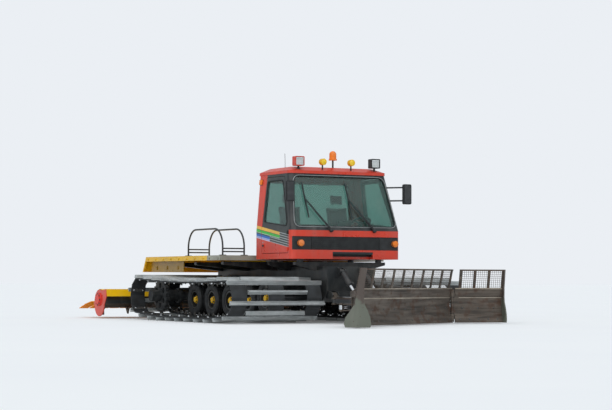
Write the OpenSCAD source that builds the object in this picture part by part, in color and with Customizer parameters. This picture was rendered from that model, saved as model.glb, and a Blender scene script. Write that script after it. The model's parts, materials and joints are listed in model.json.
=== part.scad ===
// Snow groomer: a tracked machine with a two-seat cab, a load deck, a winged front blade
// and a rear tiller. Lengths are millimetres. X runs to the machine's left, Y to its rear,
// Z up, and Z = 0 is the ground under the tracks. Inside the modules Y is measured from the
// front of the tracks; place() then moves everything so that Y = 0 is mid-length.

/* [Tracks] */
// Distance from the centre line to the outer edge of a track
track_outer = 2075; // [1900:5:2300]
// Width of one track across its bars
track_w = 1600; // [1300:10:1650]
// Length of a track from its front to its rear
track_len = 4140; // [3900:10:4600]
// Radius of a road wheel's tyre
tyre_r = 265; // [240:1:275]
// Thickness of a rubber belt
belt_t = 20; // [14:1:26]
// Width of one rubber belt
belt_w = 250; // [150:5:300]
// Height of a cross bar above its belt
bar_h = 55; // [35:1:65]
// Distance from one cross bar to the next, fitted to each straight stretch
bar_pitch = 178; // [150:1:220]
// How far the short cross bars stop inside the long ones, at each end
bar_short = 300; // [0:5:320]
// Sag of the upper run between the end wheels
belt_sag = 40; // [0:1:50]

/* [Chassis] */
// Half width of the central tub
tub_half = 420; // [380:5:440]
// Thickness of the tub's plates
tub_t = 16; // [8:1:30]
// Height of the tub's floor above the ground
tub_bottom = 330; // [250:5:380]
// Height of the tub's upper edge above the ground
tub_top = 880; // [840:5:900]

/* [Cab] */
// Half width of the cab at its sill
cab_half = 964; // [900:1:1000]
// Half width of the cab at the roof
roof_half = 862; // [820:1:900]
// Front face of the cab, behind the front of the tracks
cab_front = 198; // [150:1:300]
// Rear face of the cab at its sill
cab_rear = 1490; // [1450:5:1560]
// Height of the cab's lower edge
cab_bottom = 995; // [990:1:1000]
// Height at which the front starts to lean back
cab_waist = 1440; // [1400:1:1480]
// Height of the cab's sides below the roof
cab_eaves = 2330; // [2250:5:2400]
// How far the windscreen leans back between waist and eaves
screen_lean = 280; // [200:5:340]
// Thickness of the cab's walls and doors
wall_t = 40; // [30:1:50]
// Thickness of the glass
glass_t = 6; // [4:1:8]
// Gap round a door
door_gap = 8; // [6:1:12]

/* [Deck] */
// Half width of the load deck
deck_half = 1500; // [1300:5:1600]
// Front edge of the deck
deck_front_y = 1640; // [1630:5:1700]
// Where the plain front section ends and the yellow bed begins
deck_split = 2150; // [2000:5:2600]
// Rear edge of the deck's flange
deck_rear_y = 4715; // [4500:5:4800]
// Height of the deck's upper face
deck_top = 1060; // [1050:1:1080]
// Height of the flange round the deck
deck_flange = 80; // [60:1:100]

/* [Blade] */
// Length of the blade's middle section
blade_w = 2700; // [2400:10:2900]
// Length of each folding wing
wing_w = 850; // [700:10:900]
// Height of the blade's solid lower part
blade_solid = 555; // [500:5:600]
// Height of the blade with its grille
blade_top = 840; // [790:5:880]
// Radius of the blade's hollow face
blade_r = 870; // [800:10:1000]
// Thickness of the blade's plate
blade_t = 16; // [10:1:24]
// Angle at which the blade is parked
blade_yaw = 27; // [20:1:27]
// Angle to which the wings are folded forward
wing_fold = 38; // [20:1:40]
// Forward distance from the kingpin to the blade's lower edge
blade_reach = 480; // [460:5:520]
// Kingpin, ahead of the front of the tracks
kingpin_ahead = 850; // [800:5:900]

/* [Tiller] */
// Half width of the tiller
tiller_half = 2330; // [2200:10:2400]
// Height of the tiller's rotor axis
rotor_z = 265; // [250:1:280]
// Rotor axis, behind the rear of the tracks
rotor_gap = 660; // [640:5:760]
// Radius over the rotor's teeth
rotor_r = 205; // [180:1:215]
// Inner radius of the hood over the rotor
hood_r = 232; // [225:1:240]
// Length of the finishing mat behind the hood
mat_len = 840; // [700:10:900]

/* [Hidden] */
$fn = 48;

RIGHT = -1;
LEFT = 1;
function turned(p, a) = [p[0] * cos(a) - p[1] * sin(a), p[0] * sin(a) + p[1] * cos(a)];
// Distance from the front of the tracks back to the model's origin, which is half way between
// the foremost corner of the right wing's end plate and the rear edge of the finishing mat
wing_end_t = 20;
boot_front = -160;
hinge_y = -455;
function wing_tip(x) = let (w = turned([x, boot_front], -wing_fold),
    b = turned([-blade_w / 2 - w[0], hinge_y + w[1]], 0))
  -kingpin_ahead + b[0] * sin(blade_yaw) + b[1] * cos(blade_yaw);
rotor_y = track_len + rotor_gap;
mat_end = rotor_y + hood_r + mat_len;
origin_back = (min(wing_tip(wing_w), wing_tip(wing_w - wing_end_t)) + mat_end) / 2;
// Clearance where one fixed piece seats in or on another
seat = 0.3;

module place() { translate([0, -origin_back, 0]) children(); }
// A profile drawn in (Y, Z), extruded across the machine and centred on X = 0
module across(w) { rotate([90, 0, 90]) linear_extrude(w, center = true) children(); }
// A profile drawn in (X, Z), extruded along Y and centred on Y = 0
module along(l) { rotate([90, 0, 0]) linear_extrude(l, center = true) children(); }
// A round bar from side to side, centred on X = 0
module crossbar(r, w) { rotate([0, 90, 0]) cylinder(r = r, h = w, center = true); }
module box(x, y, z) {
  translate([x[0], y[0], z[0]]) cube([x[1] - x[0], y[1] - y[0], z[1] - z[0]]);
}
// The child on the right side and its mirror image on the left
module both_sides() {
  children();
  mirror([1, 0, 0]) children();
}
// The points of a convex outline, given anticlockwise, with each corner rounded in n steps
function unit(v) = v / norm(v);
function corner(p0, p1, p2, r, n) = let (
    a = unit(p0 - p1), b = unit(p2 - p1), h = acos(a * b) / 2,
    c = p1 + unit(a + b) * r / sin(h), t = p1 + a * r / tan(h) - c, from = atan2(t[1], t[0]))
  [for (i = [0 : n]) c + r * [cos(from + (180 - 2 * h) * i / n), sin(from + (180 - 2 * h) * i / n)]];
function round_outline(p, r, n) = let (k = len(p))
  [for (i = [0 : k - 1]) each corner(p[(i + k - 1) % k], p[i], p[(i + 1) % k], r, n)];
// A rectangle with round corners, from one corner to the other
module rounded(a, b, r, n = 5) {
  polygon(round_outline([a, [b[0], a[1]], b, [a[0], b[1]]], r, n));
}

// Running gear
// Each end wheel: distance from the front, height, radius
bar_tip = bar_h + belt_t;
idler = [bar_tip + 255, 385, 255];
sprocket = [track_len - bar_tip - 275, 400, 275];
road_z = bar_tip + tyre_r;
road_first = 930;
road_last = track_len - 1190;
road_count = 4;
road_pitch = (road_last - road_first) / (road_count - 1);
road_y = [for (i = [0 : road_count - 1]) road_first + i * road_pitch];
track_mid = track_outer - track_w / 2;
tyre_w = 200;
belt_count = 3;
belt_edge = 40;
belt_pitch = (track_w - 2 * belt_edge - belt_w) / (belt_count - 1);
arc_steps = 5;

function polar(c, r, a) = [c[0] + r * cos(a), c[1] + r * sin(a)];
// Direction from the centre to the point where the lower common tangent touches
function low_tangent(a, b) = let (d = [b[0] - a[0], b[1] - a[1]])
  atan2(d[1], d[0]) - acos((a[2] - b[2]) / norm(d));
function arc(c, r, from, to, steps) = let (half = (to - from) / steps / 2)
  [for (i = [0 : steps - 1]) polar(c, r / cos(half), from + half * (2 * i + 1))];
first_wheel = [road_first, road_z, tyre_r];
last_wheel = [road_last, road_z, tyre_r];
front_ramp = 360 + low_tangent(idler, first_wheel);
rear_ramp = 360 + low_tangent(last_wheel, sprocket);
sag_steps = 4;
// The belt's line at distance t outside the wheels, once round from the idler's top
function loop(t) = concat(
  arc(idler, idler[2] + t, 90, front_ramp, arc_steps),
  arc(first_wheel, tyre_r + t, front_ramp, 270, 1),
  arc(last_wheel, tyre_r + t, 270, rear_ramp, 1),
  arc(sprocket, sprocket[2] + t, rear_ramp, 450, arc_steps),
  [for (i = [0 : sag_steps]) let (u = i / sag_steps)
    [sprocket[0] + (idler[0] - sprocket[0]) * u,
     t + (sprocket[1] + sprocket[2]) * (1 - u) + (idler[1] + idler[2]) * u
       - belt_sag * 4 * u * (1 - u)]]);
belt_line = loop(belt_t);
line_n = len(belt_line);
function segment(i) = belt_line[(i + 1) % line_n] - belt_line[i % line_n];
function run(i) = i == 0 ? 0 : run(i - 1) + norm(segment(i - 1));
line_runs = [for (i = [0 : line_n]) run(i)];
// The stretch of the line that holds distance s
function stretch(s, i = 0) = line_runs[i + 1] >= s ? i : stretch(s, i + 1);

// Where the bars stand: one on each side of the turns round the end wheels, and evenly spaced
// along each straight stretch and along the upper run
last_run = 2 * arc_steps + 1;
stations = [for (k = [0 : last_run]) let (from = line_runs[k],
    to = line_runs[k == last_run ? line_n : k + 1], n = round((to - from) / bar_pitch))
  for (j = [0 : n - 1]) from + (to - from) * (j + 0.5) / n];
bar_foot = 72;
bar_edge = 18;
function along_line(i) = segment(i) / norm(segment(i));
function station_at(b) = let (i = stretch(stations[b]))
  belt_line[i] + along_line(i) * (stations[b] - line_runs[i]);
// The points where a bar's foot meets the belt, and those of its tip
function foot(b) = let (d = along_line(stretch(stations[b])) * bar_foot / 2, p = station_at(b))
  [p - d, p + d];
function tip(b) = let (d = along_line(stretch(stations[b])), p = station_at(b) + [d[1], -d[0]] * bar_h)
  [p + d * bar_edge / 2, p - d * bar_edge / 2];
function underfoot(s, every) = len([for (b = [0 : every : len(stations) - 1])
  if (abs(stations[b] - s) < bar_foot / 2 + 1) b]) > 0;
// The belt's outer line, with corners where every bar, or every second one, stands on it
function footed(every) = [for (i = [0 : line_n - 1]) each concat(
  underfoot(line_runs[i], every) ? [] : [belt_line[i]],
  [for (b = [0 : every : len(stations) - 1]) if (stretch(stations[b]) == i) each foot(b)])];
module track(side) {
  x_in = track_outer - track_w;
  union() {
    for (b = [0 : belt_count - 1])
      translate([side * (x_in + belt_edge + belt_w / 2 + b * belt_pitch), 0, 0])
        across(belt_w) difference() {
          polygon(footed(belt_edge + b * belt_pitch < bar_short
            || belt_edge + (belt_count - 1 - b) * belt_pitch < bar_short ? 2 : 1));
          polygon(loop(seat));
        }
    for (b = [0 : len(stations) - 1]) {
      w = track_w - (b % 2) * 2 * bar_short;
      translate([side * track_mid, 0, 0]) across(w) polygon(concat(foot(b), tip(b)));
    }
  }
}

rim_r = 150;
// The wheels run on the middle belt, one on each axle. A tyre is a ring of flat facets
tyre_facets = 20;
function facets(r) = [for (i = [0 : tyre_facets - 1]) let (a = (i + 0.5) * 360 / tyre_facets)
  r * [cos(a), sin(a)]];
module wheel_axis(p, x) {
  translate([x, p[0], p[1]]) rotate([0, 90, 0]) children();
}
wheel_places = concat([[idler[0], idler[1], idler[2]]], [for (y = road_y) [y, road_z, tyre_r]]);
module road_tyres() {
  color([0.07, 0.07, 0.07]) both_sides() for (p = wheel_places) wheel_axis(p, track_mid)
    linear_extrude(tyre_w, center = true) difference() {
      polygon(facets(p[2]));
      polygon(facets(rim_r / cos(180 / tyre_facets)));
    }
}
axle_r = 38;
module road_wheels() {
  color([0.93, 0.68, 0.08]) both_sides() for (p = wheel_places) wheel_axis(p, track_mid) {
    difference() {
      union() {
        rotate_extrude() difference() {
          translate([rim_r - 22, -tyre_w / 2 + 20]) square([22 - seat, tyre_w - 40]);
          translate([rim_r - 8, -40]) square([20, 80]);
        }
        translate([0, 0, -9]) cylinder(r = rim_r - 10, h = 18);
        translate([0, 0, -62]) cylinder(r = 62, h = 124);
      }
      translate([0, 0, -90]) cylinder(r = axle_r + seat, h = 145);
      for (a = [0 : 72 : 288]) rotate(a) translate([104, 0, -30]) cylinder(r = 20, h = 60);
    }
  }
}
module drive_sprockets() {
  teeth = 18;
  tooth_r = sprocket[2] + belt_t - 4;
  color([0.12, 0.12, 0.12]) both_sides() translate([0, sprocket[0], sprocket[1]])
    rotate([0, 90, 0]) {
      for (b = [0 : belt_count - 2]) {
        x = track_outer - track_w + belt_edge + belt_w + b * belt_pitch
          + (belt_pitch - belt_w) / 2;
        translate([0, 0, x]) linear_extrude(60, center = true) union() {
          difference() {
            circle(sprocket[2] - 20);
            for (a = [0 : 60 : 300]) rotate(a) translate([165, 0]) circle(48);
          }
          for (a = [0 : 360 / teeth : 359])
            rotate(a) translate([sprocket[2] - 40, 0])
              polygon([[0, -26], [tooth_r - sprocket[2] + 40, -11],
                [tooth_r - sprocket[2] + 40, 11], [0, 26]]);
        }
      }
      translate([0, 0, track_outer - track_w + 20]) cylinder(r = 95, h = track_w - 300);
      translate([0, 0, tub_half + seat])
        cylinder(r = 150, h = track_outer - track_w + 20 - tub_half);
      for (b = [0 : belt_count - 1]) {
        x = track_outer - track_w + belt_edge + belt_w / 2 + b * belt_pitch;
        if (b > 0 && b < belt_count - 1) translate([0, 0, x])
          rotate_extrude() translate([90, -30]) square([40, 60]);
      }
    }
}
arm_back = 250;
module swing_arms() {
  pivot_x = tub_half;
  color([0.1, 0.1, 0.1]) both_sides() for (p = wheel_places) {
    pivot = [p[0] + arm_back, tub_bottom + 110];
    hub = [p[0], p[1]];
    d = unit(hub - pivot);
    n = [-d[1], d[0]];
    union() {
      translate([pivot_x + seat, pivot[0], pivot[1]]) rotate([0, 90, 0])
        cylinder(r = 70, h = 68);
      translate([pivot_x + 42, 0, 0]) across(45) union() {
        translate(pivot) circle(62);
        translate(hub) circle(52);
        polygon([pivot + 62 * n, hub + 52 * n, hub - 52 * n, pivot - 62 * n]);
      }
      translate([pivot_x + 30, p[0], p[1]]) rotate([0, 90, 0])
        cylinder(r = axle_r, h = track_mid + 50 - pivot_x - 30);
    }
  }
}

// Chassis
lug_t = 20;
push_pivot = [0, 430];
push_x = 330;
lift_base = [0, 800];
lift_x = 190;
hitch = [track_len + 10, 430];
hitch_x = 300;
tiller_base = [track_len + 10, 800];
pin_r = 20;
tub_front = 60;
tub_back = track_len - 80;
// A flat lug in (Y, Z): a round eye joined to its root, given as Y, upper Z, lower Z
module lug(c, r, root) {
  union() {
    translate(c) circle(r);
    polygon([[root[0], root[1]], [c[0], c[1] + r], [c[0], c[1] - r], [root[0], root[2]]]);
  }
}
beam_y = [430, 1330, 1800, 2850, 3900];
cab_mount_x = 700;
cab_beams = 2;
deck_rail_z = deck_top - 20 - 80;
tow_eye = [20, 600];
tow_r = 18;
tow_t = 30;
module chassis_tub() {
  color([0.11, 0.11, 0.12]) union() {
    across(tow_t) difference() {
      lug(tow_eye, 44, [tub_front + 10, tow_eye[1] + 80, tow_eye[1] - 70]);
      translate(tow_eye) circle(tow_r);
    }
    difference() {
      across(2 * tub_half) polygon([[tub_front, tub_top], [tub_front, tub_bottom + 170],
        [tub_front + 140, tub_bottom], [tub_back - 140, tub_bottom],
        [tub_back, tub_bottom + 150], [tub_back, tub_top]]);
      across(2 * (tub_half - tub_t)) polygon([[tub_front + tub_t, tub_top + 10],
        [tub_front + tub_t, tub_bottom + 176], [tub_front + 148, tub_bottom + tub_t],
        [cab_rear + 40, tub_bottom + tub_t], [cab_rear + 40, tub_top + 10]]);
      across(2 * (tub_half - tub_t)) polygon([[cab_rear + 40 + tub_t, tub_top + 10],
        [cab_rear + 40 + tub_t, tub_bottom + tub_t], [tub_back - 148, tub_bottom + tub_t],
        [tub_back - tub_t, tub_bottom + 156], [tub_back - tub_t, tub_top + 10]]);
    }
    for (i = [0 : len(beam_y) - 1]) {
      reach = i < cab_beams ? 800 : deck_half - 110;
      height = i < cab_beams ? 70 : deck_rail_z - tub_top;
      translate([0, beam_y[i], 0]) along(90) polygon([[-reach, tub_top + height],
        [reach, tub_top + height], [reach, tub_top + height - 45],
        [tub_half + 60, tub_top - 60], [-tub_half - 60, tub_top - 60],
        [-reach, tub_top + height - 45]]);
    }
    for (y = [beam_y[0], beam_y[1]], x = [-1, 1])
      translate([x * cab_mount_x, y, tub_top + 60]) cylinder(r = 50, h = cab_bottom - tub_top - 60);
    both_sides() {
      for (dx = [-1, 1]) translate([push_x + dx * 55, 0, 0]) across(lug_t)
        lug(push_pivot, 60, [tub_front + 100, tub_bottom + 190, tub_bottom + 60]);
      translate([push_x, push_pivot[0], push_pivot[1]]) crossbar(pin_r, 130);
      for (dx = [-1, 1]) translate([lift_x + dx * 45, 0, 0]) across(lug_t)
        lug(lift_base, 45, [tub_front + 10, tub_top - 10, tub_top - 160]);
      translate([lift_x, lift_base[0], lift_base[1]]) crossbar(pin_r, 110);
      for (dx = [-1, 1]) translate([hitch_x + dx * 55, 0, 0]) across(lug_t)
        lug(hitch, 60, [tub_back - 30, tub_bottom + 230, tub_bottom + 130]);
      translate([hitch_x, hitch[0], hitch[1]]) crossbar(pin_r, 130);
    }
    for (dx = [-1, 1]) translate([dx * 45, 0, 0]) across(lug_t)
      lug(tiller_base, 45, [tub_back - 10, tub_top - 10, tub_top - 160]);
    translate([0, tiller_base[0], tiller_base[1]]) crossbar(pin_r, 110);
  }
}
engine_y = [1900, 3100];
module engine_block() {
  color([0.35, 0.36, 0.38])
    box([-310, 310], engine_y, [tub_bottom + tub_t + seat, tub_top - 70]);
}

// Cab. Each section: height, front, rear, half width
cab_corner = 75;
cab_back_lean = 60;
cab_sections = [
  [cab_bottom, cab_front, cab_rear, cab_half],
  [cab_eaves, cab_front + screen_lean, cab_rear + cab_back_lean, roof_half]
];
roof_low = cab_eaves + 1 + seat;
roof_lamp_x = 680;
fog_lamp_x = 255;
lamp_row_y = cab_front + screen_lean + 40;
lamp_stem_y = lamp_row_y + 10;
lamp_stem_r = 16;
fog_stem_r = 12;
beacon_y = lamp_row_y + 140;
beacon_stem_r = 14;
roof_edge = 46;
roof_sections = [
  [roof_low, cab_front + screen_lean - 12, cab_rear + 80, roof_half + 8],
  [roof_low + 110, cab_front + screen_lean + 140, cab_rear - 10, roof_half - 130]
];
module slab(s, inset, h, r = cab_corner) {
  translate([0, 0, s[0]]) linear_extrude(h)
    rounded([-s[3] + inset, s[1] + inset], [s[3] - inset, s[2] - inset], r - inset / 2, 3);
}
// The cab's outer form, or one set in from it by its walls, raised by low and carried on by over
module cab_solid(inset, low = 0, over = 1) {
  hull() {
    slab([cab_bottom + low, cab_front, cab_rear, cab_half], inset, cab_waist - cab_bottom - low);
    slab(cab_sections[1], inset, over);
  }
}
module cab_inside() { cab_solid(wall_t, wall_t, 30); }
lean_x = (cab_half - roof_half) / (cab_eaves - cab_waist);
lean_y = screen_lean / (cab_eaves - cab_waist);
screen_tilt = atan(lean_y);
// Windscreen plane: the child is drawn with X across and Y up the glass, from the waist
module on_screen() {
  translate([0, cab_front, cab_waist]) rotate([90 - screen_tilt, 0, 0]) children();
}
screen_h = (cab_eaves - cab_waist) / cos(screen_tilt);
module screen_shape(side, low, high, r) {
  half_low = cab_half - side;
  half_high = roof_half - side;
  polygon(round_outline([[-half_low, low], [half_low, low], [half_high, screen_h - high],
    [-half_high, screen_h - high]], r, 5));
}
// The zone of the front panel, below the waist, and of the windscreen frame, above it
front_depth = wall_t + 60;
module panel_zone(g) {
  across(2200) polygon([[0, cab_bottom - 10], [cab_front + front_depth - g, cab_bottom - 10],
    [cab_front + front_depth - g, cab_waist - g], [0, cab_waist - g]]);
}
module screen_zone(g) {
  top = cab_eaves + 20;
  across(2200) polygon([[0, cab_waist + g], [cab_front + front_depth - g, cab_waist + g],
    [cab_front + front_depth - g + (top - cab_waist) * lean_y, top], [0, top]]);
}
// Door outline in (Y, Z), grown by g
door_z = [1090, cab_eaves - 44];
door_y = [330, 1236];
door_hinge = [cab_half + 16, door_y[0] - 6];
door_hinge_z = [1150, 1400];
hinge_pin_r = 6;
// A hinge's knuckle and leaf, running back (1) or forward (-1) along the cab's side
module hinge_leaf(side, way, h) {
  cylinder(r = 11, h = h, $fn = 32);
  mirror([1 - side, 0, 0]) mirror([0, 1 - way, 0])
    box([-17, -4], [0, way > 0 ? 62 : 24], [0, h]);
}
// The post between the windscreen's frame and the door keeps at least this width
door_post = 13;
door_kink = cab_waist + (door_y[0] - cab_front - front_depth - door_post) / lean_y;
module door_shape(g) {
  front_top = door_y[0] + 40 + (door_z[1] - cab_waist) * lean_y;
  polygon([[door_y[0] - g, door_z[0] - g], [door_y[1] + g, door_z[0] - g],
    [door_y[1] + g + 14, door_z[1] + g], [front_top - g, door_z[1] + g],
    [door_y[0] - g, door_kink]]);
}
// Window outline in the door; the lower edge falls towards the front with the stripes
window_fall = 0.163;
window_low = 1505;
module window_shape(g) {
  front_top = door_y[0] + 100 + (door_z[1] - 60 - cab_waist) * lean_y;
  front_low = door_y[0] + 62;
  polygon([[front_low - g, window_low - g],
    [door_y[1] - 50 + g, window_low + 845 * window_fall - 60 - g],
    [door_y[1] - 42 + g, door_z[1] - 55 + g], [front_top - g, door_z[1] - 55 + g],
    [front_low - g, cab_waist + 145]]);
}
module side_cut(side) {
  translate([side * cab_half, 0, 0]) across(500) children();
}
rear_window = [[-760, 1560], [760, cab_eaves - 100]];
module cab_body() {
  color([0.86, 0.2, 0.13]) {
    difference() {
      cab_solid(0);
      cab_inside();
      panel_zone(0);
      screen_zone(0);
      for (s = [RIGHT, LEFT]) side_cut(s) door_shape(door_gap);
      translate([0, cab_rear, 0]) along(300) rounded(rear_window[0], rear_window[1], 60);
    }
    for (s = [RIGHT, LEFT], z = door_hinge_z) translate([s * door_hinge[0], door_hinge[1], z - 30]) {
      hinge_leaf(s, -1, 30);
      cylinder(r = hinge_pin_r, h = 60, $fn = 32);
    }
  }
}
band_z = [1136, 1343];
band_half = cab_half - 9;
notch = [-246, 468];
module cab_front_panel() {
  color([0.86, 0.2, 0.13]) difference() {
    intersection() {
      difference() {
        cab_solid(0);
        cab_inside();
      }
      panel_zone(seat);
    }
    box([-band_half, band_half], [cab_front - 10, cab_front + 28], band_z);
    box(notch, [cab_front - 10, cab_front + front_depth + 1], [cab_bottom - 10, cab_bottom + 72]);
  }
}
slat_n = 7;
module cab_grille() {
  color([0.05, 0.05, 0.05]) union() {
    intersection() {
      box([-band_half + 1, band_half - 1], [cab_front + 18, cab_front + 28 - seat],
        [band_z[0] + 1, band_z[1] - 1]);
      cab_solid(1);
    }
    for (i = [0 : slat_n - 1]) {
      z = band_z[0] + 12 + i * (band_z[1] - band_z[0] - 24) / (slat_n - 1);
      box([-600, 600], [cab_front + 6, cab_front + 20], [z - 5, z + 5]);
    }
    for (x = [-600, 600]) box([x - 6, x + 6], [cab_front + 4, cab_front + 20],
      [band_z[0] + 1, band_z[1] - 1]);
  }
}
lamp_z = (band_z[0] + band_z[1]) / 2;
indicator_x = [-802, 872];
module front_lamps() {
  color([0.95, 0.5, 0.08]) for (x = indicator_x) translate([x, cab_front + 18 - seat, lamp_z])
    rotate([90, 0, 0]) cylinder(r = 52, h = 34);
}
module windscreen_frame() {
  color([0.04, 0.04, 0.04]) difference() {
    intersection() {
      difference() {
        cab_solid(0);
        cab_inside();
      }
      screen_zone(seat);
    }
    on_screen() translate([0, 0, -200]) linear_extrude(300) screen_shape(62, 62, 40, 70);
    for (s = [RIGHT, LEFT]) side_cut(s) door_shape(door_gap);
  }
}
module cab_roof() {
  color([0.86, 0.2, 0.13]) difference() {
    hull() {
      slab(roof_sections[0], 0, roof_edge);
      slab(roof_sections[1], 0, 1);
    }
    hull() {
      slab([roof_low - 20, cab_front + screen_lean + 40, cab_rear + 20, roof_half - 40], 0, 1);
      slab([roof_low + 70, cab_front + screen_lean + 165, cab_rear - 30, roof_half - 150], 0, 1);
    }
    // Holes that the stems of the lamps and the beacon seat in
    for (x = [-1, 1]) {
      translate([x * roof_lamp_x, lamp_stem_y, roof_low]) cylinder(r = lamp_stem_r + seat, h = 200);
      translate([x * fog_lamp_x, lamp_stem_y, roof_low]) cylinder(r = fog_stem_r + seat, h = 200);
    }
    translate([0, beacon_y, roof_low]) cylinder(r = beacon_stem_r + seat, h = 200);
  }
}
module cab_glass() {
  color([0.35, 0.5, 0.48, 0.4]) {
    on_screen() translate([0, 0, -20]) linear_extrude(glass_t)
      screen_shape(62 + seat, 62 + seat, 40 + seat, 70 - seat);
    lean_rear = atan(cab_back_lean / (cab_eaves - cab_bottom));
    intersection() {
      translate([0, cab_rear - 20, cab_bottom]) rotate([-lean_rear, 0, 0])
        box([-1000, 1000], [0, glass_t], [0, 1500]);
      translate([0, cab_rear, 0]) along(300) rounded(
        [rear_window[0][0] + seat, rear_window[0][1] + seat],
        [rear_window[1][0] - seat, rear_window[1][1] - seat], 60 - seat);
    }
  }
}
// One side wall with the door's outline, for the leaf and its glass
module door_wall(inner, outer) {
  difference() {
    cab_solid(outer);
    cab_solid(inner);
  }
}
module door(side) {
  color([0.86, 0.2, 0.13]) difference() {
    union() {
      intersection() {
        door_wall(wall_t, 0);
        side_cut(side) door_shape(0);
      }
      for (z = door_hinge_z) translate([side * door_hinge[0], door_hinge[1], z + seat])
        hinge_leaf(side, 1, 30);
    }
    side_cut(side) window_shape(0);
    translate([side * door_hinge[0], door_hinge[1], door_z[0]])
      cylinder(r = hinge_pin_r + seat, h = 600, $fn = 32);
  }
}
module door_glass(side) {
  color([0.35, 0.5, 0.48, 0.4]) intersection() {
    door_wall(12 + glass_t, 12);
    side_cut(side) window_shape(-seat);
  }
}
seat_x = 430;
module cab_seats() {
  color([0.1, 0.1, 0.11]) for (x = [-seat_x, seat_x]) translate([x, 0, 0]) union() {
    box([-180, 180], [cab_rear - 640, cab_rear - 300],
      [cab_bottom + wall_t + seat, cab_bottom + wall_t + 200]);
    translate([0, cab_rear - 480, cab_bottom + wall_t + 250]) hull()
      for (dx = [-190, 190], dy = [-210, 210]) translate([dx, dy, 0])
        cylinder(r = 40, h = 120, center = true, $fn = 32);
    translate([0, cab_rear - 240, cab_bottom + 290]) rotate([-8, 0, 0]) {
      hull() for (dx = [-170, 170], z = [20, 540]) translate([dx, 0, z])
        rotate([90, 0, 0]) cylinder(r = 50, h = 100, center = true, $fn = 32);
      hull() for (dx = [-85, 85], z = [640, 740]) translate([dx, -5, z])
        rotate([90, 0, 0]) cylinder(r = 45, h = 80, center = true, $fn = 32);
      for (dx = [-60, 60]) translate([dx, -5, 560]) cylinder(r = 9, h = 80);
    }
  }
}
module cab_console() {
  color([0.13, 0.13, 0.14]) union() {
    across(1500) polygon([[cab_front + wall_t + 62, cab_bottom + wall_t + seat],
      [cab_front + 150, cab_bottom + wall_t + seat], [cab_front + 260, cab_waist - 60],
      [cab_front + 250, cab_waist + 10], [cab_front + wall_t + 62, cab_waist + 10]]);
    box([-90, 90], [cab_front + 120, 1100], [cab_bottom + wall_t + seat, cab_bottom + 300]);
    translate([seat_x, cab_front + 240, cab_waist - 10]) rotate([-35, 0, 0]) {
      cylinder(r = 24, h = 170);
      translate([0, 0, 165]) rotate_extrude() translate([165, 0]) circle(15);
      for (a = [90, 210, 330]) rotate(a) translate([0, -12, 158]) cube([165, 24, 12]);
      translate([0, 0, 150]) cylinder(r = 40, h = 28);
    }
  }
}
module roof_lamps() {
  bracket_low = roof_low + 12;
  color([0.5, 0.1, 0.08]) both_sides() {
    union() {
      translate([roof_lamp_x, lamp_stem_y, bracket_low + 180]) difference() {
        along(110) rounded([-80, -75], [80, 75], 14);
        translate([0, -50, 0]) along(24) rounded([-68, -63], [68, 63], 10);
      }
      translate([roof_lamp_x, lamp_stem_y, bracket_low]) cylinder(r = lamp_stem_r, h = 115);
    }
    union() {
      translate([fog_lamp_x, lamp_row_y, bracket_low + 180]) rotate([90, 0, 0])
        cylinder(r = 52, h = 70, center = true);
      translate([fog_lamp_x, lamp_stem_y, bracket_low]) cylinder(r = fog_stem_r, h = 140);
    }
  }
}
module roof_beacon() {
  color([0.95, 0.45, 0.05]) translate([0, beacon_y, roof_low + 90]) union() {
    cylinder(r = beacon_stem_r, h = 150);
    translate([0, 0, 140]) cylinder(r = 64, h = 24);
    translate([0, 0, 160]) cylinder(r = 56, h = 74);
    translate([0, 0, 234]) intersection() {
      sphere(r = 56);
      cylinder(r = 60, h = 60);
    }
  }
}
// Each mirror: side, distance from the centre line, distance behind the front of the tracks
mirror_at = [[RIGHT, 1015, 165], [LEFT, 1080, 180]];
mirror_z = cab_eaves - 298;
module mirrors() {
  color([0.05, 0.05, 0.05]) for (m = mirror_at) mirror([m[0] == LEFT ? 0 : 1, 0, 0]) union() {
    translate([m[1], m[2], mirror_z]) along(36) rounded([-75, -160], [75, 160], 24);
    difference() {
      for (z = [mirror_z - 100, mirror_z + 110]) {
        foot = [roof_half + (cab_eaves - z) * lean_x - 30, cab_front + (z - cab_waist) * lean_y + 50];
        run = [m[1] - foot[0], m[2] + 10 - foot[1]];
        translate([foot[0], foot[1], z]) rotate([90, 0, 90 + atan2(run[1], run[0])])
          cylinder(r = 12, h = norm(run));
      }
      cab_solid(-seat);
    }
  }
}
wiper_x = [-282, 486];
// The wiper blades' lower end, up the glass, and their clearance below its top
wiper_low = 200;
wiper_len = screen_h - 153 - wiper_low;
wiper_mid = wiper_low + wiper_len / 2;
module wipers() {
  color([0.04, 0.04, 0.04]) for (x = wiper_x) on_screen() union() {
    translate([x, -8, 1]) cylinder(r = 26, h = 34);
    for (d = [-12, 12]) hull() {
      translate([x + d, -6, 24]) cylinder(r = 7, h = 8, $fn = 16);
      translate([x - 380 + d, wiper_mid, 24]) cylinder(r = 5, h = 8, $fn = 16);
    }
    translate([x - 380, wiper_mid, 6]) rotate(4) translate([-9, -wiper_len / 2, 0])
      cube([18, wiper_len, 16]);
    translate([x - 400, wiper_mid - 8, 18]) cube([40, 16, 12]);
  }
}

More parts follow.
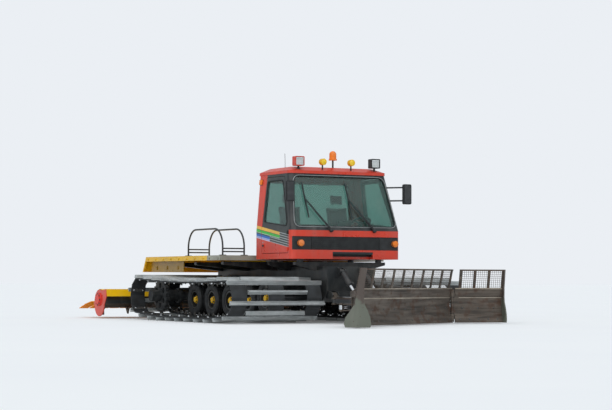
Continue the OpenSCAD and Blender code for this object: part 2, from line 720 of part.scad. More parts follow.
// Doors hinge about a line in the plane of the side window
module deck_front() {
  color([0.72, 0.72, 0.68]) union() {
    box([-deck_half, deck_half], [deck_front_y, deck_split - seat], [deck_top - 20, deck_top]);
    for (x = [-1, 1]) translate([x * (deck_half - 15), (deck_front_y + deck_split) / 2, 0])
      box([-15, 15], [-(deck_split - deck_front_y) / 2, (deck_split - deck_front_y) / 2 - seat],
        [deck_top - deck_flange, deck_top]);
    box([-deck_half, deck_half], [deck_front_y, deck_front_y + 30],
      [deck_top - deck_flange, deck_top]);
    for (x = [-1, 1]) translate([x * 400, 0, 0])
      box([-40, 40], [deck_front_y + 30, deck_split - seat], [deck_rail_z, deck_top - 20]);
  }
}
bed_panel = [3260, 4640];
lash_x = 1200;
lash_y = [2500, 4300];
lash_r = 9;
panel_drop = 180;
module deck_bed() {
  color([0.95, 0.7, 0.05]) union() {
    difference() {
      box([-deck_half, deck_half], [deck_split, deck_rear_y], [deck_top - 20, deck_top]);
      for (x = [-lash_x, lash_x], y = lash_y) translate([x, y, deck_top - 30])
        cylinder(r = lash_r, h = 40);
    }
    for (x = [-1, 1]) translate([x * (deck_half - 15), 0, 0]) {
      box([-15, 15], [deck_split, deck_rear_y], [deck_top - deck_flange, deck_top]);
      translate([-x * 70, 0, 0]) box([-8, 8], bed_panel,
        [deck_top - deck_flange - panel_drop, deck_top - 10]);
      across(30) polygon([[deck_rear_y - 40, deck_top - 10], [deck_rear_y, deck_top - 10],
        [deck_rear_y + 155, deck_top - deck_flange - panel_drop],
        [deck_rear_y + 115, deck_top - deck_flange - panel_drop]]);
    }
    across(2 * deck_half) polygon([[deck_rear_y - 12, deck_top], [deck_rear_y, deck_top],
      [deck_rear_y + 155, deck_top - deck_flange - panel_drop],
      [deck_rear_y + 143, deck_top - deck_flange - panel_drop]]);
    for (x = [-1, 1]) translate([x * 400, 0, 0])
      box([-40, 40], [deck_split, deck_rear_y - 10], [deck_rail_z, deck_top - 10]);
  }
}
rail_x = [1430, 1050];
rail_y = [1700, 3050];
rail_h = 430;
rail_r = 14;
bend_r = 300;
module hoop(x) {
  r = bend_r;
  translate([x, 0, deck_top]) {
    for (y = rail_y) translate([0, y, 0]) cylinder(r = rail_r, h = rail_h - r);
    translate([0, (rail_y[0] + rail_y[1]) / 2, rail_h]) rotate([90, 0, 0])
      cylinder(r = rail_r, h = rail_y[1] - rail_y[0] - 2 * r, center = true);
    for (e = [[rail_y[0] + r, 90], [rail_y[1] - r, 0]]) translate([0, e[0], rail_h - r])
      rotate([90, 0, 90]) rotate(e[1]) rotate_extrude(angle = 90) translate([r, 0]) circle(rail_r);
  }
}
module deck_rails() {
  color([0.06, 0.06, 0.06]) both_sides() union() {
    for (x = rail_x) hoop(x);
    for (y = rail_y) translate([(rail_x[0] + rail_x[1]) / 2, y, deck_top + 60])
      crossbar(rail_r - 3, rail_x[0] - rail_x[1]);
    for (y = rail_y) translate([(rail_x[0] + rail_x[1]) / 2, y, deck_top + 110])
      crossbar(rail_r - 3, rail_x[0] - rail_x[1]);
  }
}

// Doors
module door_right() { door(RIGHT); }
module door_left() { door(LEFT); }
module door_glass_right() { door_glass(RIGHT); }
module door_glass_left() { door_glass(LEFT); }

// Cylinders. The eye is at the origin with its pin along X; the barrel runs up Z
eye_r = 36;
eye_w = 56;
// Each: barrel radius, rod radius, length over the pins when fully closed
lift_cyl = [44, 24, 390];
angle_cyl = [38, 20, 516];
tilt_cyl = [36, 19, 540];
wing_cyl = [30, 17, 758];
tiller_cyl = [44, 24, 322];
// Start of the barrel, past its lugs, and steel left behind its bore
neck = 54;
barrel_end = 64;
// What a closed barrel leaves free before the centre of the rod's eye
lug_clear = 54;
module barrel(c, w = eye_w) {
  difference() {
    union() {
      crossbar(eye_r, w);
      cylinder(r = w / 2 - 4, h = neck + 10);
      translate([0, 0, neck]) cylinder(r = c[0], h = c[2] - neck - lug_clear);
      translate([0, 0, c[2] - lug_clear - 40]) cylinder(r = c[0] + 4, h = 40);
    }
    crossbar(pin_r + seat, w + 2);
    translate([0, 0, barrel_end - 1]) cylinder(r = c[1] + seat, h = c[2]);
  }
}
// The rod's pin is part of its eye and ends short of the lugs, which carry the pin's heads
module rod(c, w = eye_w) {
  union() {
    crossbar(eye_r, w);
    crossbar(pin_r, w + 4);
    translate([0, 0, -(c[2] - barrel_end - 2)]) cylinder(r = c[1], h = c[2] - barrel_end - 22);
  }
}
// Heads on the outer faces of a pair of lugs, w apart overall, with the pin along X
module pin_heads(w) {
  for (d = [-1, 1]) translate([d * w / 2, 0, 0]) crossbar(pin_r + 8, 20);
}
// Turn the cylinder's Z to run from p towards q, with the pins along X, Z or Y
module upright(p, q) {
  d = q - p;
  translate(p) rotate([atan2(-d[1], d[2]), 0, 0]) children();
}
module flat(p, q) {
  d = q - p;
  translate(p) rotate([0, 0, atan2(d[1], d[0]) + 180]) rotate([0, -90, 0]) children();
}
module facing(p, q) {
  d = q - p;
  translate(p) rotate([0, atan2(d[0], d[2]), 0]) rotate([0, 0, 90]) children();
}

// Push frame: swings on the tub's front pins and carries the kingpin boss
king = [0, -kingpin_ahead];
arm_z = [300, 400];
nose_z = [285, 425];
king_r = 35;
lift_eye = [push_pivot[0] - 410, 470];
angle_base = [470, king[1] + 580, (arm_z[0] + arm_z[1]) / 2];
module fork(c, r, gap, t, w) {
  for (d = [-1, 1]) translate([0, 0, d * (gap / 2 + t / 2)])
    linear_extrude(t, center = true) union() {
      translate(c) circle(r);
      polygon(w);
    }
}
module push_frame() {
  bend_y = push_pivot[0] - 400;
  mid = (arm_z[0] + arm_z[1]) / 2;
  color([0.2, 0.19, 0.18]) difference() {
    union() {
      both_sides() {
        translate([push_x, 0, 0]) across(76) union() {
          translate(push_pivot) circle(50);
          polygon([[push_pivot[0] + 10, push_pivot[1] - 50], [push_pivot[0] + 10, push_pivot[1] + 50],
            [push_pivot[0] - 120, arm_z[1]], [bend_y, arm_z[1]], [bend_y, arm_z[0]],
            [push_pivot[0] - 90, arm_z[0]]]);
        }
        translate([0, 0, arm_z[0]]) linear_extrude(arm_z[1] - arm_z[0])
          polygon([[push_x + 38, bend_y + 20], [push_x + 38, bend_y - 10], [60, king[1] - 20],
            [0, king[1] - 20], [0, king[1] + 90], [push_x - 60, bend_y - 10],
            [push_x - 38, bend_y + 20]]);
        for (d = [-1, 1]) translate([lift_x + d * 45, 0, 0]) across(lug_t)
          lug(lift_eye, 45, [lift_eye[0] + 60, arm_z[1] + 10, arm_z[1] - 20]);
        translate([lift_x, lift_eye[0], lift_eye[1]]) pin_heads(110);
        for (d = [-1, 1]) translate([lift_x + d * 45, lift_eye[0], 0])
          box([-lug_t / 2, lug_t / 2], [-45, 45], [arm_z[1] - 10, lift_eye[1]]);
        translate([0, 0, mid]) fork([angle_base[0], angle_base[1]], 42, 70, 16,
          [[push_x + 20, angle_base[1] + 90], [push_x + 20, angle_base[1] - 30],
           [angle_base[0] + 20, angle_base[1] - 37], [angle_base[0] + 20, angle_base[1] + 37]]);
        translate([angle_base[0], angle_base[1], mid]) cylinder(r = pin_r, h = 106, center = true);
      }
      box([-push_x, push_x], [lift_eye[0] - 45, lift_eye[0] + 55], arm_z);
      translate([king[0], king[1], nose_z[0]]) cylinder(r = 78, h = nose_z[1] - nose_z[0]);
    }
    translate([king[0], king[1], nose_z[0] - 1])
      cylinder(r = king_r + seat, h = nose_z[1] - nose_z[0] + 2);
    translate([0, push_pivot[0], push_pivot[1]]) crossbar(pin_r + seat, 2 * push_x + 100);
  }
}
module lift_barrel(side) {
  color([0.12, 0.12, 0.13]) upright([side * lift_x, lift_base[0], lift_base[1]],
    [side * lift_x, lift_eye[0], lift_eye[1]]) barrel(lift_cyl);
}
module lift_rod(side) {
  color([0.75, 0.76, 0.78]) upright([side * lift_x, lift_eye[0], lift_eye[1]],
    [side * lift_x, 2 * lift_eye[0] - lift_base[0], 2 * lift_eye[1] - lift_base[1]])
    rod(lift_cyl);
}
module lift_barrel_right() { lift_barrel(RIGHT); }
module lift_rod_right() { lift_rod(RIGHT); }
module lift_barrel_left() { lift_barrel(LEFT); }
module lift_rod_left() { lift_rod(LEFT); }

// Blade. The children are drawn about the kingpin with the blade square to the machine
module blade_frame() { translate([king[0], king[1], 0]) rotate([0, 0, blade_yaw]) children(); }
tilt_z = 340;
tilt_r = 45;
head_front = 190;
boss_back = 200;
angle_ear = [300, -80];
tilt_base = [-150, 565];
tilt_eye = [430, 525];
tilt_y = -245;
module swivel_head() {
  mid = (arm_z[0] + arm_z[1]) / 2;
  color([0.22, 0.21, 0.2]) blade_frame() union() {
    translate([0, 0, nose_z[0] - 40]) cylinder(r = king_r, h = nose_z[1] - nose_z[0] + 80);
    for (z = [nose_z[0] - 31, nose_z[1] + 6]) translate([0, 0, z]) linear_extrude(25) union() {
      circle(76);
      polygon([[-76, 0], [-150, -head_front + 10], [150, -head_front + 10], [76, 0]]);
    }
    box([-220, 220], [-head_front, -head_front + 30], [235, 500]);
    box([tilt_base[0] - 60, tilt_base[0] + 60], [-head_front, -head_front + 30], [490, 620]);
    translate([0, -head_front + 10, tilt_z]) rotate([90, 0, 0])
      cylinder(r = tilt_r, h = boss_back + 85 - head_front);
    translate([tilt_base[0], -head_front + 5, tilt_base[1]]) rotate([90, 0, 0])
      cylinder(r = pin_r, h = 100);
    translate([tilt_base[0], -head_front - 86, tilt_base[1]]) rotate([90, 0, 0])
      cylinder(r = 30, h = 10);
    both_sides() {
      translate([0, 0, mid]) fork(angle_ear, 42, 70, 16,
        [[120, -head_front + 5], [220, -head_front + 5], [angle_ear[0] + 40, angle_ear[1]],
         [angle_ear[0] - 35, angle_ear[1] + 25]]);
      translate([angle_ear[0], angle_ear[1], mid]) rotate([0, 90, 0]) pin_heads(102);
      box([150, 220], [-head_front, -head_front + 60], [mid - 50, mid + 50]);
    }
  }
}
function ear_at(side) = let (e = turned([side * angle_ear[0], angle_ear[1]], blade_yaw))
  [king[0] + e[0], king[1] + e[1], angle_base[2]];
module angle_barrel(side) {
  p = [side * angle_base[0], angle_base[1], angle_base[2]];
  color([0.12, 0.12, 0.13]) flat(p, ear_at(side)) barrel(angle_cyl);
}
module angle_rod(side) {
  p = [side * angle_base[0], angle_base[1], angle_base[2]];
  color([0.75, 0.76, 0.78]) flat(ear_at(side), 2 * ear_at(side) - p) rod(angle_cyl);
}
module angle_barrel_right() { angle_barrel(RIGHT); }
module angle_rod_right() { angle_rod(RIGHT); }
module angle_barrel_left() { angle_barrel(LEFT); }
module angle_rod_left() { angle_rod(LEFT); }
tilt_p = [tilt_base[0], tilt_y, tilt_base[1]];
tilt_q = [tilt_eye[0], tilt_y, tilt_eye[1]];
module tilt_barrel() {
  color([0.12, 0.12, 0.13]) blade_frame() facing(tilt_p, tilt_q) barrel(tilt_cyl);
}
module tilt_rod() {
  color([0.75, 0.76, 0.78]) blade_frame() facing(tilt_q, 2 * tilt_q - tilt_p) rod(tilt_cyl);
}

// The blade's section in (Y, Z): a hollow arc, its centre ahead of the plate
blade_bottom = 15;
arc_mid_z = 300;
arc_c = [-blade_reach - sqrt(pow(blade_r, 2) - pow(arc_mid_z - blade_bottom, 2)), arc_mid_z];
function face_y(z, off) = arc_c[0] + sqrt(pow(blade_r + off, 2) - pow(z - arc_mid_z, 2));
module blade_section(z0, z1) {
  intersection() {
    difference() {
      translate(arc_c) circle(blade_r + blade_t, $fn = 180);
      translate(arc_c) circle(blade_r, $fn = 180);
    }
    translate([arc_c[0], z0]) square([blade_r + 50, z1 - z0]);
  }
}
post_w = 44;
rail_t = 24;
grille_y = face_y(blade_solid, 0);
// How far the grille leans forward, and how far it stops short of a hinge
grille_lean = 60;
grille_trim = 60;
// Curved plate, cutting edge and the slotted grille over it, from x0 to x1; the grille runs from
// x2 to x3
module blade_plate(x0, x1, x2, x3, posts) {
  lean_y = [grille_y, grille_y - grille_lean];
  mid = (x0 + x1) / 2;
  w = x1 - x0;
  translate([mid, 0, 0]) across(w) blade_section(blade_bottom, blade_solid);
  translate([mid, 0, 0]) across(w) polygon([[face_y(20, 0) - 12, blade_bottom],
    [face_y(20, 0) + 14, blade_bottom], [face_y(110, 0) + 14, 120], [face_y(110, 0) - 8, 120]]);
  box([x0, x1], [grille_y - 4, grille_y + blade_t + 14], [blade_solid - 30, blade_solid]);
  box([x2, x3], [lean_y[1] - 4, lean_y[1] + blade_t + 4], [blade_top - rail_t, blade_top]);
  for (i = [0 : posts - 1])
    translate([x2 + post_w / 2 + (x3 - x2 - post_w) * i / (posts - 1), 0, 0]) across(post_w)
      polygon([[lean_y[0], blade_solid - 10], [lean_y[0] + blade_t, blade_solid - 10],
        [lean_y[1] + blade_t, blade_top - 10], [lean_y[1], blade_top - 10]]);
}
hinge_r = 30;
hinge_gap = 10;
knuckles = [[30, 150], [160, 400], [410, 530]];
wing_base = [blade_w / 2 - 700, hinge_y + 125];
wing_eye = [60, 200];
wing_cyl_z = 280;
module blade_middle() {
  half = blade_w / 2 - hinge_r - hinge_gap;
  back = -425;
  color([0.29, 0.27, 0.25]) blade_frame() difference() {
    union() {
      blade_plate(-half, half, grille_trim - half, half - grille_trim, 10);
      for (z = [[70, 150], [430, 510]])
        box([-half + 20, half - 20], [face_y(z[0], 0) + 4, back + 75], z);
      for (x = [-1, 1]) for (u = [160, 400]) translate([x * u, 0, 0])
        box([-10, 10], [back - 6, back + 65], [130, 450]);
      box([-130, 130], [back, -boss_back], [tilt_z - 130, tilt_z + 130]);
      for (d = [-1, 1]) translate([tilt_eye[0], tilt_y + d * 43, tilt_eye[1]])
        rotate([90, 0, 0]) linear_extrude(16, center = true) union() {
          circle(38);
          polygon([[-38, 0], [38, 0], [60, -60], [-60, -60]]);
        }
      box([tilt_eye[0] - 60, tilt_eye[0] + 60], [back + 5, tilt_y + 51],
        [tilt_eye[1] - 95, tilt_eye[1] - 56]);
      translate([tilt_eye[0], tilt_y, tilt_eye[1]]) rotate([0, 0, 90]) pin_heads(102);
      both_sides() {
        for (k = [0, 2]) translate([blade_w / 2, hinge_y, knuckles[k][0]])
          cylinder(r = hinge_r, h = knuckles[k][1] - knuckles[k][0]);
        for (k = [0, 2]) box([half - 10, blade_w / 2], [hinge_y - 12, hinge_y + 12], knuckles[k]);
        translate([0, 0, wing_cyl_z]) fork(wing_base, 40, 70, 16,
          [[wing_base[0] - 90, back - 5], [wing_base[0] + 90, back - 5],
           [wing_base[0] + 30, wing_base[1] + 25], [wing_base[0] - 30, wing_base[1] + 25]]);
        translate([wing_base[0], wing_base[1], wing_cyl_z])
          cylinder(r = pin_r, h = 106, center = true);
        translate([blade_w / 2, hinge_y, knuckles[0][0]])
          cylinder(r = 14, h = knuckles[2][1] - knuckles[0][0]);
      }
    }
    translate([0, -boss_back + 1, tilt_z]) rotate([90, 0, 0])
      cylinder(r = tilt_r + seat, h = 96);
  }
}
// A wing, drawn on the left with its hinge at the origin and lying in line with the blade
module wing_shape() {
  in = hinge_r + hinge_gap;
  lean = grille_y - hinge_y - grille_lean;
  boot = [[200, 15], [boot_front + 15, 15], [boot_front, 60], [boot_front + 12, 150],
    [-112, 250], [-72, 330], [-60, 400], [-62, blade_solid], [lean - 30, blade_top],
    [lean + 60, blade_top], [34, blade_solid], [60, 400], [76, 330], [130, 250], [200, 150], [220, 60]];
  difference() {
    union() {
      translate([0, -hinge_y, 0]) blade_plate(in, wing_w, in + grille_trim, wing_w, 4);
      translate([wing_w - wing_end_t / 2, 0, 0]) across(wing_end_t) polygon(boot);
      for (z = [[70, 150], [430, 510]]) box([in + 20, wing_w - 20], [0, 75], z);
      box([in - 10, in + 70], [10, 60], [150, 450]);
      translate([0, 0, knuckles[1][0]]) cylinder(r = hinge_r, h = knuckles[1][1] - knuckles[1][0]);
      box([0, in + 10], [-12, 12], knuckles[1]);
      translate([0, 0, wing_cyl_z]) fork(wing_eye, 38, 70, 16,
        [[in, 20], [in + 70, 20], [wing_eye[0] + 30, wing_eye[1]], [wing_eye[0] - 34, wing_eye[1]]]);
      translate([wing_eye[0], wing_eye[1], wing_cyl_z]) rotate([0, 90, 0]) pin_heads(102);
    }
    translate([0, 0, knuckles[0][0]]) cylinder(r = 14 + seat, h = knuckles[2][1]);
  }
}
// Left side of the blade, with the children turned to the parked angle of the wing
module at_wing(side) {
  blade_frame() mirror([side == LEFT ? 0 : 1, 0, 0])
    translate([blade_w / 2, hinge_y, 0]) rotate([0, 0, -wing_fold]) children();
}
module wing(side) { color([0.29, 0.27, 0.25]) at_wing(side) wing_shape(); }
module wing_right() { wing(RIGHT); }
module wing_left() { wing(LEFT); }
wing_q = let (e = turned(wing_eye, -wing_fold)) [blade_w / 2 + e[0], hinge_y + e[1], wing_cyl_z];
wing_p = [wing_base[0], wing_base[1], wing_cyl_z];
module wing_barrel(side) {
  color([0.12, 0.12, 0.13]) blade_frame() mirror([side == LEFT ? 0 : 1, 0, 0])
    flat(wing_p, wing_q) barrel(wing_cyl);
}
module wing_rod(side) {
  color([0.75, 0.76, 0.78]) blade_frame() mirror([side == LEFT ? 0 : 1, 0, 0])
    flat(wing_q, 2 * wing_q - wing_p) rod(wing_cyl);
}
module wing_barrel_right() { wing_barrel(RIGHT); }
module wing_rod_right() { wing_rod(RIGHT); }
module wing_barrel_left() { wing_barrel(LEFT); }
module wing_rod_left() { wing_rod(LEFT); }

// Tiller
end_t = 14;
shaft_r = 32;
beam = [[rotor_y - 330, rotor_y - 244], [380, 500]];
tiller_eye = [rotor_y - 270, 570];
module tiller_frame() {
  color([0.12, 0.12, 0.13]) difference() {
    union() {
      both_sides() {
        translate([hitch_x, 0, 0]) across(76) union() {
          translate(hitch) circle(50);
          polygon([[hitch[0] - 5, hitch[1] + 50], [hitch[0] - 5, hitch[1] - 50],
            [beam[0][0] + 10, beam[1][0] + 5], [beam[0][0] + 10, beam[1][1] - 5]]);
        }
        translate([tiller_half - end_t / 2, 0, 0]) across(end_t) union() {
          translate([rotor_y, rotor_z]) circle(hood_r - 2);
          polygon([[beam[0][0], beam[1][0]], [rotor_y - 100, 60], [rotor_y + 100, 60],
            [rotor_y + 250, rotor_z], [rotor_y + 60, rotor_z + 200], [beam[0][0], beam[1][1]]]);
        }
      }
      box([-tiller_half + 1, tiller_half - 1], beam[0], beam[1]);
      for (d = [-1, 1]) translate([d * 45, 0, 0]) across(lug_t) union() {
        translate(tiller_eye) circle(45);
        translate([tiller_eye[0] - 45, beam[1][1] - 10]) square([70, tiller_eye[1] - beam[1][1] + 10]);
      }
      translate([0, tiller_eye[0], tiller_eye[1]]) pin_heads(110);
    }
    translate([0, rotor_y, rotor_z]) crossbar(shaft_r + seat, 2 * tiller_half + 10);
    translate([0, hitch[0], hitch[1]]) crossbar(pin_r + seat, 2 * hitch_x + 100);
  }
}
module tiller_hood() {
  color([0.93, 0.68, 0.08]) across(2 * (tiller_half - end_t - seat)) difference() {
    union() {
      difference() {
        translate([rotor_y, rotor_z]) circle(hood_r + 8);
        translate([rotor_y - 300, rotor_z - 300]) square([600, 290]);
      }
      translate([rotor_y, rotor_z - 10]) square([hood_r + 8, 20]);
      translate([rotor_y + hood_r - 4, rotor_z - 10]) square([60, 28]);
    }
    translate([rotor_y, rotor_z]) circle(hood_r);
    translate([beam[0][0] - 60, 0]) square([beam[0][1] - beam[0][0] + 60 + seat, 600]);
  }
}
module tiller_caps() {
  color([0.85, 0.2, 0.15]) both_sides() translate([tiller_half + seat, rotor_y, rotor_z + 60])
    rotate([0, 90, 0]) difference() {
      union() {
        cylinder(r = 115, h = 24);
        cylinder(r = 80, h = 40);
      }
      translate([60, 0, -1]) cylinder(r = shaft_r + 6, h = 12);
    }
}
module finisher_mat() {
  t = 12;
  y0 = rotor_y + hood_r + 60;
  y1 = mat_end;
  color([0.85, 0.45, 0.02]) union() {
    across(2 * tiller_half - 40) polygon([[y0 - 40, rotor_z + 18 + seat], [y0 - 40, rotor_z + 30],
      [y0 + 140, rotor_z + 26], [y0 + 480, rotor_z - 30], [y0 + 480, rotor_z - 42],
      [y0 + 140, rotor_z + 14], [y0 - 4 + seat, rotor_z + 18 + seat]]);
    n = 24;
    pitch = (2 * tiller_half - 40) / n;
    for (i = [0 : n - 1]) translate([(i - (n - 1) / 2) * pitch, 0, 0]) across(pitch - 30)
      polygon([[y0 + 470, rotor_z - 29], [y1, rotor_z - 100], [y1, rotor_z - 110],
        [y0 + 470, rotor_z - 42]]);
  }
}
tooth_n = 56;
tooth_turn = 65;
module tiller_rotor() {
  half = tiller_half - end_t - 12;
  color([0.4, 0.4, 0.41]) translate([0, rotor_y, rotor_z]) rotate([0, 90, 0]) union() {
    cylinder(r = 85, h = 2 * half, center = true);
    cylinder(r = shaft_r, h = 2 * (tiller_half + 6), center = true);
    for (i = [0 : tooth_n - 1]) {
      translate([0, 0, -half + 50 + i * (2 * half - 100) / (tooth_n - 1)]) rotate(i * tooth_turn)
        translate([70, -30, -8]) cube([rotor_r - 70, 60, 16]);
    }
  }
}
tiller_p = [0, tiller_base[0], tiller_base[1]];
tiller_q = [0, tiller_eye[0], tiller_eye[1]];
module tiller_barrel() {
  color([0.12, 0.12, 0.13]) upright(tiller_p, tiller_q) barrel(tiller_cyl);
}
module tiller_rod() {
  color([0.75, 0.76, 0.78]) upright(tiller_q, 2 * tiller_q - tiller_p) rod(tiller_cyl);
}
module track_right() { color([0.3, 0.3, 0.29]) track(RIGHT); }
module track_left() { color([0.3, 0.3, 0.29]) track(LEFT); }

place() chassis_tub();
place() engine_block();
place() track_right();
place() track_left();
place() road_tyres();
place() road_wheels();
place() drive_sprockets();
place() swing_arms();
place() cab_body();
place() cab_front_panel();
place() cab_grille();
place() windscreen_frame();
place() cab_roof();
place() cab_glass();
place() cab_seats();
place() cab_console();
place() front_lamps();
place() roof_lamps();
place() roof_beacon();
place() mirrors();
place() wipers();
place() deck_front();
place() deck_bed();
place() deck_rails();
place() door_right();
place() door_left();
place() door_glass_right();
place() door_glass_left();
place() push_frame();
place() swivel_head();
place() blade_middle();
place() wing_right();
place() wing_left();
place() lift_barrel_right();
place() lift_rod_right();
place() lift_barrel_left();
place() lift_rod_left();
place() angle_barrel_right();
place() angle_rod_right();
place() angle_barrel_left();
place() angle_rod_left();
place() tilt_barrel();
place() tilt_rod();
place() wing_barrel_right();
place() wing_rod_right();
place() wing_barrel_left();
place() wing_rod_left();
place() tiller_frame();
place() tiller_hood();
place() tiller_caps();
place() finisher_mat();
place() tiller_rotor();
place() tiller_barrel();
place() tiller_rod();
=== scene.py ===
# %% [markdown]
# # A snowcat groomer
# This lesson dresses a machine that grooms ski slopes: two wide tracks, a red cab, a
# flat load deck, a folding snow blade in front and a tiller behind. Its solids come
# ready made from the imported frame. Here they get their finishes, and the small parts
# that are easier to model with Blender's own tools are added.

# %% Load the frame
import json
import math
import bmesh
import bpy
from mathutils import Matrix, Vector


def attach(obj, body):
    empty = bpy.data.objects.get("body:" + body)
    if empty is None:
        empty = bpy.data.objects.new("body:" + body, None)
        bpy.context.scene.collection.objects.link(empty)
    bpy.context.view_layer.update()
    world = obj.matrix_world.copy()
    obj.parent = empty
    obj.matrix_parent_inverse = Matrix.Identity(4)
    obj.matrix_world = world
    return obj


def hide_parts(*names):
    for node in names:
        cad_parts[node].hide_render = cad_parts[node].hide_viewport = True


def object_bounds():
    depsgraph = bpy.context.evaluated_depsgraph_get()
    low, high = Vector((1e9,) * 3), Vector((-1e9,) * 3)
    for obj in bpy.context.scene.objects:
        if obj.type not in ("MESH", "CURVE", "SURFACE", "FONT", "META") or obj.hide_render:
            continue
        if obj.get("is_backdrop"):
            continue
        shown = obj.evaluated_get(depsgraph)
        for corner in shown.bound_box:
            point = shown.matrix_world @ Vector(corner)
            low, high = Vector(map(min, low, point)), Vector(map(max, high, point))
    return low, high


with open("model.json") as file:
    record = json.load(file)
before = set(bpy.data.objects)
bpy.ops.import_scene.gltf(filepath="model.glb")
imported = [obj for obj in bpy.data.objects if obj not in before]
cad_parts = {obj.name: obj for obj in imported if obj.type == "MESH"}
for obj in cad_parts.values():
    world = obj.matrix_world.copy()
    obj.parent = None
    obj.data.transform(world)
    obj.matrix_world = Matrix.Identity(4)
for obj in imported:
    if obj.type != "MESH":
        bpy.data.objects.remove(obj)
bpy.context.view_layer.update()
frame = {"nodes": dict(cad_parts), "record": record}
nodes = frame["nodes"]

# %% [markdown]
# The machine was laid out in millimetres, measured back from the front of its tracks.
# Small functions turn such a place into the frame's metres, so that every number below
# can be checked with a tape measure.

# %% Places on the machine
TRACK_FRONT = 1.582862
SIDES = ((-1, "right"), (1, "left"))


def spot(y):
    """The distance behind the tracks' front in millimetres, as the frame's Y in metres."""
    return y / 1000 - TRACK_FRONT


def at(x, y, z):
    """A place in millimetres: left of the middle, behind the tracks' front, above ground."""
    return Vector((x / 1000, spot(y), z / 1000))


def shift(x, y, z):
    """A move in metres as a matrix."""
    return Matrix.Translation((x, y, z))


def put(x, y, z):
    """The move from the origin to a place in millimetres."""
    return shift(*at(x, y, z))


def spin_about(axis, degrees):
    """A turn about the origin as a matrix."""
    return Matrix.Rotation(math.radians(degrees), 4, axis)


def mirror(side):
    """Nothing on the left side, and left turned to right on the right side."""
    return Matrix.Diagonal((side, 1, 1, 1))


print("front of the tracks lies at Y =", round(spot(0), 3))

# %% [markdown]
# ## Colours and nodes
# Colours are read off as sRGB hex values, which is how a screen shows them. Shaders
# work in linear light, so one function turns the one into the other. A second one
# adds a node to a material, sets it and links it, which keeps each recipe short. It finds
# the material by any node or socket that is already in it.

# %% Colour and node helpers
WAVE_SCALE = 314  # Blender's wave texture at scale 1 has a crest every 314 mm


def linear(hex_text):
    """sRGB hex text to linear red, green, blue and alpha."""
    values = [int(hex_text[i:i + 2], 16) / 255 for i in (1, 3, 5)]
    return [v / 12.92 if v <= 0.04045 else ((v + 0.055) / 1.055) ** 2.4 for v in values] + [1]


def add(near, kind, inputs=None, **settings):
    """Adds a node, changes its settings, and gives its inputs a value or a link."""
    tree = near.id_data
    node = tree.nodes.new("ShaderNode" + kind)
    for key, value in settings.items():
        setattr(node, key, value)
    for key, value in (inputs or {}).items():
        if isinstance(value, bpy.types.NodeSocket):
            tree.links.new(value, node.inputs[key])
        else:
            node.inputs[key].default_value = value
    return node


def begin(name, **values):
    """A new material, its Principled shader with plain values set, and its coordinates."""
    material = bpy.data.materials.new(name)
    material.use_nodes = True
    shader = material.node_tree.nodes["Principled BSDF"]
    for key, value in values.items():
        shader.inputs[key.replace("_", " ")].default_value = value
    return material, shader, add(shader, "TexCoord").outputs["Object"]


def feed(shader, **sockets):
    """Links sockets to the shader's inputs."""
    for key, socket in sockets.items():
        shader.id_data.links.new(socket, shader.inputs[key.replace("_", " ")])


def waves(place, millimetres, detail=3.0, stretch=(1, 1, 1)):
    """Cloudy noise whose blots are about so many millimetres wide, from 0 to 1."""
    turned = add(place, "Mapping", {"Vector": place, "Scale": stretch}).outputs[0]
    return add(place, "TexNoise", {"Vector": turned, "Scale": 1000 / millimetres,
                                   "Detail": detail}).outputs["Fac"]


def between(value, low, high, out_low=0.0, out_high=1.0):
    """The value's range from low to high spread over the new range, cut off outside it."""
    return add(value, "MapRange", {"Value": value, "From Min": low, "From Max": high,
                                   "To Min": out_low, "To Max": out_high}).outputs[0]


def blend(factor, first, second):
    """Two colours, each as hex text or a socket, mixed: a factor of 1 gives the second."""
    first, second = (linear(shade) if isinstance(shade, str) else shade for shade in (first, second))
    return add(factor, "Mix", {0: factor, 6: first, 7: second}, data_type="RGBA").outputs[2]


def maths(operation, *values):
    """One step of arithmetic on numbers or sockets."""
    near = next(value for value in values if isinstance(value, bpy.types.NodeSocket))
    return add(near, "Math", dict(enumerate(values)), operation=operation).outputs[0]


def ribs(place, millimetres, direction="X", wobble=0.0):
    """Even waves whose crests stand so many millimetres apart, from 0 to 1."""
    return add(place, "TexWave", {"Vector": place, "Scale": WAVE_SCALE / millimetres, "Distortion": wobble},
               bands_direction=direction).outputs["Fac"]


def bump(height, strength, distance=0.002, under=None):
    """The normal of a surface with dents so many metres deep, on top of another bump."""
    values = {"Height": height, "Strength": strength, "Distance": distance}
    if under is not None:
        values["Normal"] = under
    return add(height, "Bump", values).outputs[0]


def wear(place, width):
    """1 on edges that a hand or a stone rubs, 0 on flat faces."""
    soft = add(place, "Bevel", {"Radius": width}, samples=4).outputs[0]
    sharp = add(place, "NewGeometry").outputs["Normal"]
    alike = add(place, "VectorMath", {0: soft, 1: sharp}, operation="DOT_PRODUCT").outputs["Value"]
    return between(alike, 0.985, 0.9)


print("ink test:", [round(v, 3) for v in linear("#CC4A36")])

# %% [markdown]
# ## Painted sheet steel
# Cab, deck and hood are sheet steel with a sprayed two-part enamel. To the eye that is
# an even gloss over a faint mottle, duller where winter grime dries on it, and chipped
# through to dark primer along the edges. One recipe serves every painted piece, since
# only its colour and its wear differ. The orange-peel bump is drawn at 12 mm, coarser
# than the real 2 mm, because finer bumps would vanish at this distance. The deck's top is
# studded plate, 60 mm from stud to stud, drawn twice as coarse as the real one.

